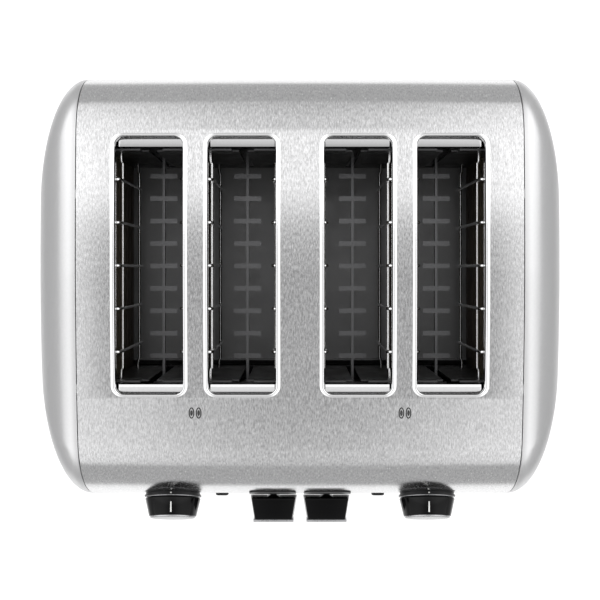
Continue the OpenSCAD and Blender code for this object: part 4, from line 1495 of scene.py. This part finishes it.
@dataclass
class Buttons:
    """The two columns of buttons, each button with a softly domed front."""

    outline: Outline
    flange: float = 1.0 * MM
    dome: float = 0.35 * MM

    def button(self, side: Side, row: str) -> bpy.types.Object:
        """One button: a rounded cap with its flange and the pin behind it."""
        low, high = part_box(f"{side.word}_button_{row}")
        cx, cz = (low.x + high.x) / 2, (low.z + high.z) / 2
        w, h = high.x - low.x - 2 * self.flange, high.z - low.z - 2 * self.flange
        flange_y = self.outline.face_y(cz) + 3.0 * MM
        rings = []
        for inset, y in ((2.6, 0.0), (1.6, 0.12), (0.7, 0.30), (0.25, 0.55), (0.05, 1.0), (0.0, 1.6)):
            shape = rounded_rectangle(w - 2 * inset * MM, h - 2 * inset * MM,
                                      max(1.3 - inset * 0.4, 0.3) * MM, 6)
            rings.append([(cx + p[0], low.y + y * MM, cz + p[1]) for p, _ in shape])
        shape = rounded_rectangle(w, h, 1.3 * MM, 6)
        rings.append([(cx + p[0], flange_y, cz + p[1]) for p, _ in shape])
        cap = loft("button_cap", rings)
        plate = softened(block("button_flange", (low.x, flange_y, low.z),
                               (high.x, flange_y + 1.0 * MM, high.z)), 0.25 * MM, 2)
        parts = [cap, plate]
        if high.y > flange_y + 2.5 * MM:
            circle = [(1.5 * MM * math.cos(a), 1.5 * MM * math.sin(a)) for a in
                      (2 * math.pi * i / 24 for i in range(24))]
            parts.append(prism("button_pin", circle, lambda p, y: (cx + p[0], y, cz + p[1]),
                               flange_y + 1.0 * MM, high.y))
        return joined(f"{side.word}_{row}_cap", parts)

    def build(self, bench: Bench) -> None:
        """Makes the six buttons and hands them over."""
        for side in Side:
            for row in ("top", "middle", "low"):
                piece = self.button(side, row)
                bench.hand_over(piece, f"{side.word}_{row}_button", SATIN_BLACK,
                                [f"{side.word}_button_{row}"])


# ---- Underside and back ----


@dataclass(frozen=True)
class InletSizes:
    """Sizes of the cord inlet."""

    body_r: float = 7.0 * MM
    flange_r: float = 9.0 * MM
    bore_r: float = 3.5 * MM


@dataclass
class CordInlet:
    """The moulded inlet at the back, with a rolled mouth."""

    sizes: InletSizes = field(default_factory=InletSizes)

    def build(self, bench: Bench) -> None:
        """Turns the inlet and hands it over."""
        low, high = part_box("cord_inlet")
        seat = Matrix.Translation(((low.x + high.x) / 2, high.y, (low.z + high.z) / 2)) @ Matrix.Rotation(
            math.radians(90), 4, "X")
        s = self.sizes
        long = high.y - low.y
        mouth = arc((s.bore_r + 0.5 * MM, 0.5 * MM), 0.5 * MM, 180, 270, 5)
        edge = arc((s.flange_r - 0.5 * MM, 0.5 * MM), 0.5 * MM, 270, 360, 5)
        profile = [*mouth, *edge, (s.flange_r, 1.0 * MM), (s.body_r, 1.0 * MM), (s.body_r, 3.6 * MM),
                   (s.flange_r, 3.6 * MM), (s.flange_r, 6.6 * MM), (s.body_r, 6.6 * MM),
                   (s.body_r, long), (s.bore_r, long)]
        piece = lathe("moulded_inlet", profile, seat, 72)
        bench.hand_over(piece, "root", SATIN_BLACK, ["cord_inlet"])


@dataclass
class Feet:
    """The four rubber feet, turned with a soft edge and a shallow ring."""

    def build(self, bench: Bench) -> None:
        """Turns the feet as one group and hands them over."""
        low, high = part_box("feet")
        r = 11 * MM
        h = high.z
        shapes = []
        for x in (low.x + r, high.x - r):
            for y in (low.y + r, high.y - r):
                seat = Matrix.Translation((x, y, 0.0))
                profile = [(0.0, 0.6 * MM), (5.5 * MM, 0.6 * MM), (6.2 * MM, 0.0), (9.6 * MM, 0.0),
                           *arc((9.8 * MM, 1.2 * MM), 1.2 * MM, -80, 0, 5),
                           *arc((10.0 * MM, 5.4 * MM), 1.0 * MM, 0, 70, 4),
                           (8.0 * MM, 8.0 * MM), (8.0 * MM, h), (0.0, h)]
                shapes.append(lathe("foot", profile, seat, 64))
        bench.hand_over(joined("rubber_feet", shapes), "root", RUBBER, ["feet"])


# The carried-over nodes that stay in view, with their finishes
KEPT_NODES: dict[str, Finish] = {
    # the end plates and chamber walls take the chamber finish, which is darkened as painted shade
    "base_pan": BASE_BLACK, "base_screws": SCREW, "front_plate": PAINTED_SHADE_CHAMBER, "rear_plate": PAINTED_SHADE_CHAMBER,
    "left_outer_wall": PAINTED_SHADE_CHAMBER, "right_outer_wall": PAINTED_SHADE_CHAMBER, "centre_wall": PAINTED_SHADE_CHAMBER,
    "left_heater_boards": MICA, "right_heater_boards": MICA,
    "left_heater_wires": RIBBON, "right_heater_wires": RIBBON,
    "guide_rods": SCREW, "latch_magnets": COIL,
    "left_control_board": BOARD, "right_control_board": BOARD,
    "left_carriage": CARRIAGE, "right_carriage": CARRIAGE,
    "bread_rack_1": CARRIAGE, "bread_rack_2": CARRIAGE,
    "bread_rack_3": CARRIAGE, "bread_rack_4": CARRIAGE,
    # the crumb trays take the tray finish, which is darkened as painted shade
    "left_crumb_tray": PAINTED_SHADE_TRAY, "right_crumb_tray": PAINTED_SHADE_TRAY,
}


# ---- Stage ----


@dataclass
class Studio:
    """The pale floor, the soft light and the camera above."""

    camera_height: float = 1.1
    camera_y: float = 21.15 * MM
    lens: float = 94.7
    shift_y: float = -0.05
    floor_half: float = 1.6
    # painted light: the floor's own glow, at glow near the toaster and fading to far_glow past glow_to,
    # washes out the toaster's shadows
    glow_from: float = 0.206
    glow_to: float = 0.245
    glow: float = 0.74
    far_glow: float = 0.06
    # (share of the way, level) stops: from overhead to the sides, and from the front to the back
    side_stops: tuple[Point2, ...] = (
        (0.0, 0.0), (0.14, 0.06), (0.42, 0.55), (0.72, 0.95), (0.86, 0.90), (1.0, 0.42))
    front_to_back: tuple[Point2, ...] = (
        (0.0, 0.74), (0.05, 0.72), (0.12, 0.66), (0.25, 0.60), (0.32, 0.50), (0.45, 0.44),
        (0.512, 0.41), (0.526, 0.68), (0.545, 0.98), (0.60, 0.90), (0.66, 0.84), (0.70, 0.82),
        (0.80, 0.82), (0.90, 0.80), (1.0, 0.70))

    def camera(self) -> None:
        """Hangs the camera over the toaster, looking straight down."""
        data = bpy.data.cameras.new("camera")
        data.sensor_width = 36.0
        data.lens = self.lens
        data.shift_y = self.shift_y
        camera = bpy.data.objects.new("camera", data)
        camera.location = (0.0, self.camera_y, self.camera_height)
        bpy.context.scene.collection.objects.link(camera)
        bpy.context.scene.camera = camera

    def floor(self) -> None:
        """Lays the pale floor with painted light: it glows, brightest round the toaster, which washes out
        the toaster's shadows there.
        """
        s = self.floor_half
        verts = [(-s, -s, 0.0), (s, -s, 0.0), (s, s, 0.0), (-s, s, 0.0)]
        piece = new_piece("floor", verts, [(0, 1, 2, 3)], outward=False)
        Finish("pale_floor", (0.42, 0.42, 0.42), 0.0, 0.7, Grain.CLOUDY, tone_spread=0.01,
               rough_spread=0.02, relief=0.0).dress(piece)
        tree = piece.data.materials[0].node_tree
        nodes, links = tree.nodes, tree.links
        place = nodes.new("ShaderNodeTexCoord")
        far = nodes.new("ShaderNodeMath")
        far.operation = "SMOOTH_MAX"
        far.inputs[2].default_value = 0.01
        parts = nodes.new("ShaderNodeSeparateXYZ")
        fade = nodes.new("ShaderNodeMapRange")
        fade.interpolation_type = "SMOOTHSTEP"
        stops = (self.glow_from, self.glow_to, self.glow, self.far_glow)
        for name, value in zip(("From Min", "From Max", "To Min", "To Max"), stops):
            fade.inputs[name].default_value = value
        links.new(far.outputs["Value"], fade.inputs["Value"])
        shader = nodes["Principled BSDF"]
        shader.inputs["Emission Color"].default_value = (1.0, 1.0, 1.0, 1.0)
        links.new(place.outputs["Object"], parts.inputs["Vector"])
        for k, axis in enumerate("XY"):
            size = nodes.new("ShaderNodeMath")
            size.operation = "ABSOLUTE"
            links.new(parts.outputs[axis], size.inputs[0])
            links.new(size.outputs["Value"], far.inputs[k])
        # painted light: the glow drives the floor's emission
        links.new(fade.outputs["Result"], shader.inputs["Emission Strength"])

    def softbox(self, name: str, place: Point3, aim: Point3, size: Point2, watts: float) -> None:
        """Hangs one rectangular light.

        Args:
            name: the light's name.
            place: where it hangs.
            aim: the point that it faces.
            size: its width and height.
            watts: its power.
        """
        data = bpy.data.lights.new(name, "AREA")
        data.shape = "RECTANGLE"
        data.size, data.size_y = size
        data.energy = watts
        light = bpy.data.objects.new(name, data)
        light.location = place
        way = Vector(aim) - Vector(place)
        light.rotation_euler = way.to_track_quat("-Z", "Y").to_euler()
        bpy.context.scene.collection.objects.link(light)

    def world(self) -> None:
        """A soft room, brightest at its sides and in a strip just behind the middle of its ceiling."""
        world = bpy.data.worlds.new("room")
        world.use_nodes = True
        nodes, links = world.node_tree.nodes, world.node_tree.links
        way = nodes.new("ShaderNodeTexCoord")
        parts = nodes.new("ShaderNodeSeparateXYZ")
        links.new(way.outputs["Generated"], parts.inputs["Vector"])

        def ramp(source: bpy.types.NodeSocket, stops: Sequence[Point2]) -> bpy.types.NodeSocket:
            """A level that follows a direction's share through (share, level) stops."""
            made = nodes.new("ShaderNodeFloatCurve")
            curve = made.mapping.curves[0]
            made.mapping.clip_max_y = 4.0
            made.mapping.clip_min_y = -1.0
            curve.points[0].location = stops[0]
            curve.points[1].location = stops[-1]
            for stop in stops[1:-1]:
                curve.points.new(*stop)
            made.mapping.update()
            links.new(source, made.inputs["Value"])
            return made.outputs["Value"]

        def sum_of(operation: str, a: object, b: object) -> bpy.types.NodeSocket:
            """The result of a sum on two sockets or numbers."""
            step = nodes.new("ShaderNodeMath")
            step.operation = operation
            for socket, given in zip(step.inputs, (a, b)):
                if isinstance(given, (int, float)):
                    socket.default_value = given
                else:
                    links.new(given, socket)
            return step.outputs["Value"]

        x = sum_of("ABSOLUTE", parts.outputs["X"], 0.0)
        y_half = sum_of("MULTIPLY", sum_of("ADD", parts.outputs["Y"], 1.0), 0.5)
        level = sum_of("ADD", ramp(x, self.side_stops), ramp(y_half, self.front_to_back))
        level = sum_of("MAXIMUM", level, 0.02)
        nodes["Background"].inputs["Color"].default_value = (1.0, 1.0, 1.0, 1.0)
        links.new(level, nodes["Background"].inputs["Strength"])
        bpy.context.scene.world = world

    def build(self) -> None:
        """Sets the whole stage."""
        scene = bpy.context.scene
        scene.view_settings.view_transform = "Standard"
        self.camera()
        self.floor()
        self.world()
        self.softbox("overhead", (0.0, 0.46, 1.7), (0.0, 0.46, 0.1), (1.6, 0.6), 1.1)


def main() -> None:
    """Builds every sub-assembly in order and reports each piece."""
    logging.basicConfig(level=logging.INFO, format="%(name)s %(message)s")
    bench = Bench()
    outline = Outline.of_node("top_shell")
    Studio().build()
    SteelWrap(outline).build(bench)
    EndCaps(outline).build(bench)
    SlotRims(outline).build(bench)
    PrintedMarks(outline).build(bench)
    BreadGuides(outline).build(bench)
    Springs().build(bench)
    Dials().build(bench)
    Levers(outline).build(bench)
    Buttons(outline).build(bench)
    CordInlet().build(bench)
    Feet().build(bench)
    for node, finish in KEPT_NODES.items():
        finish.dress(frame["nodes"][node])
        log.info("%s: %s", node, finish.name)
    log.info("%d pieces made", len(bench.made))


if __name__ == "__main__":
    main()
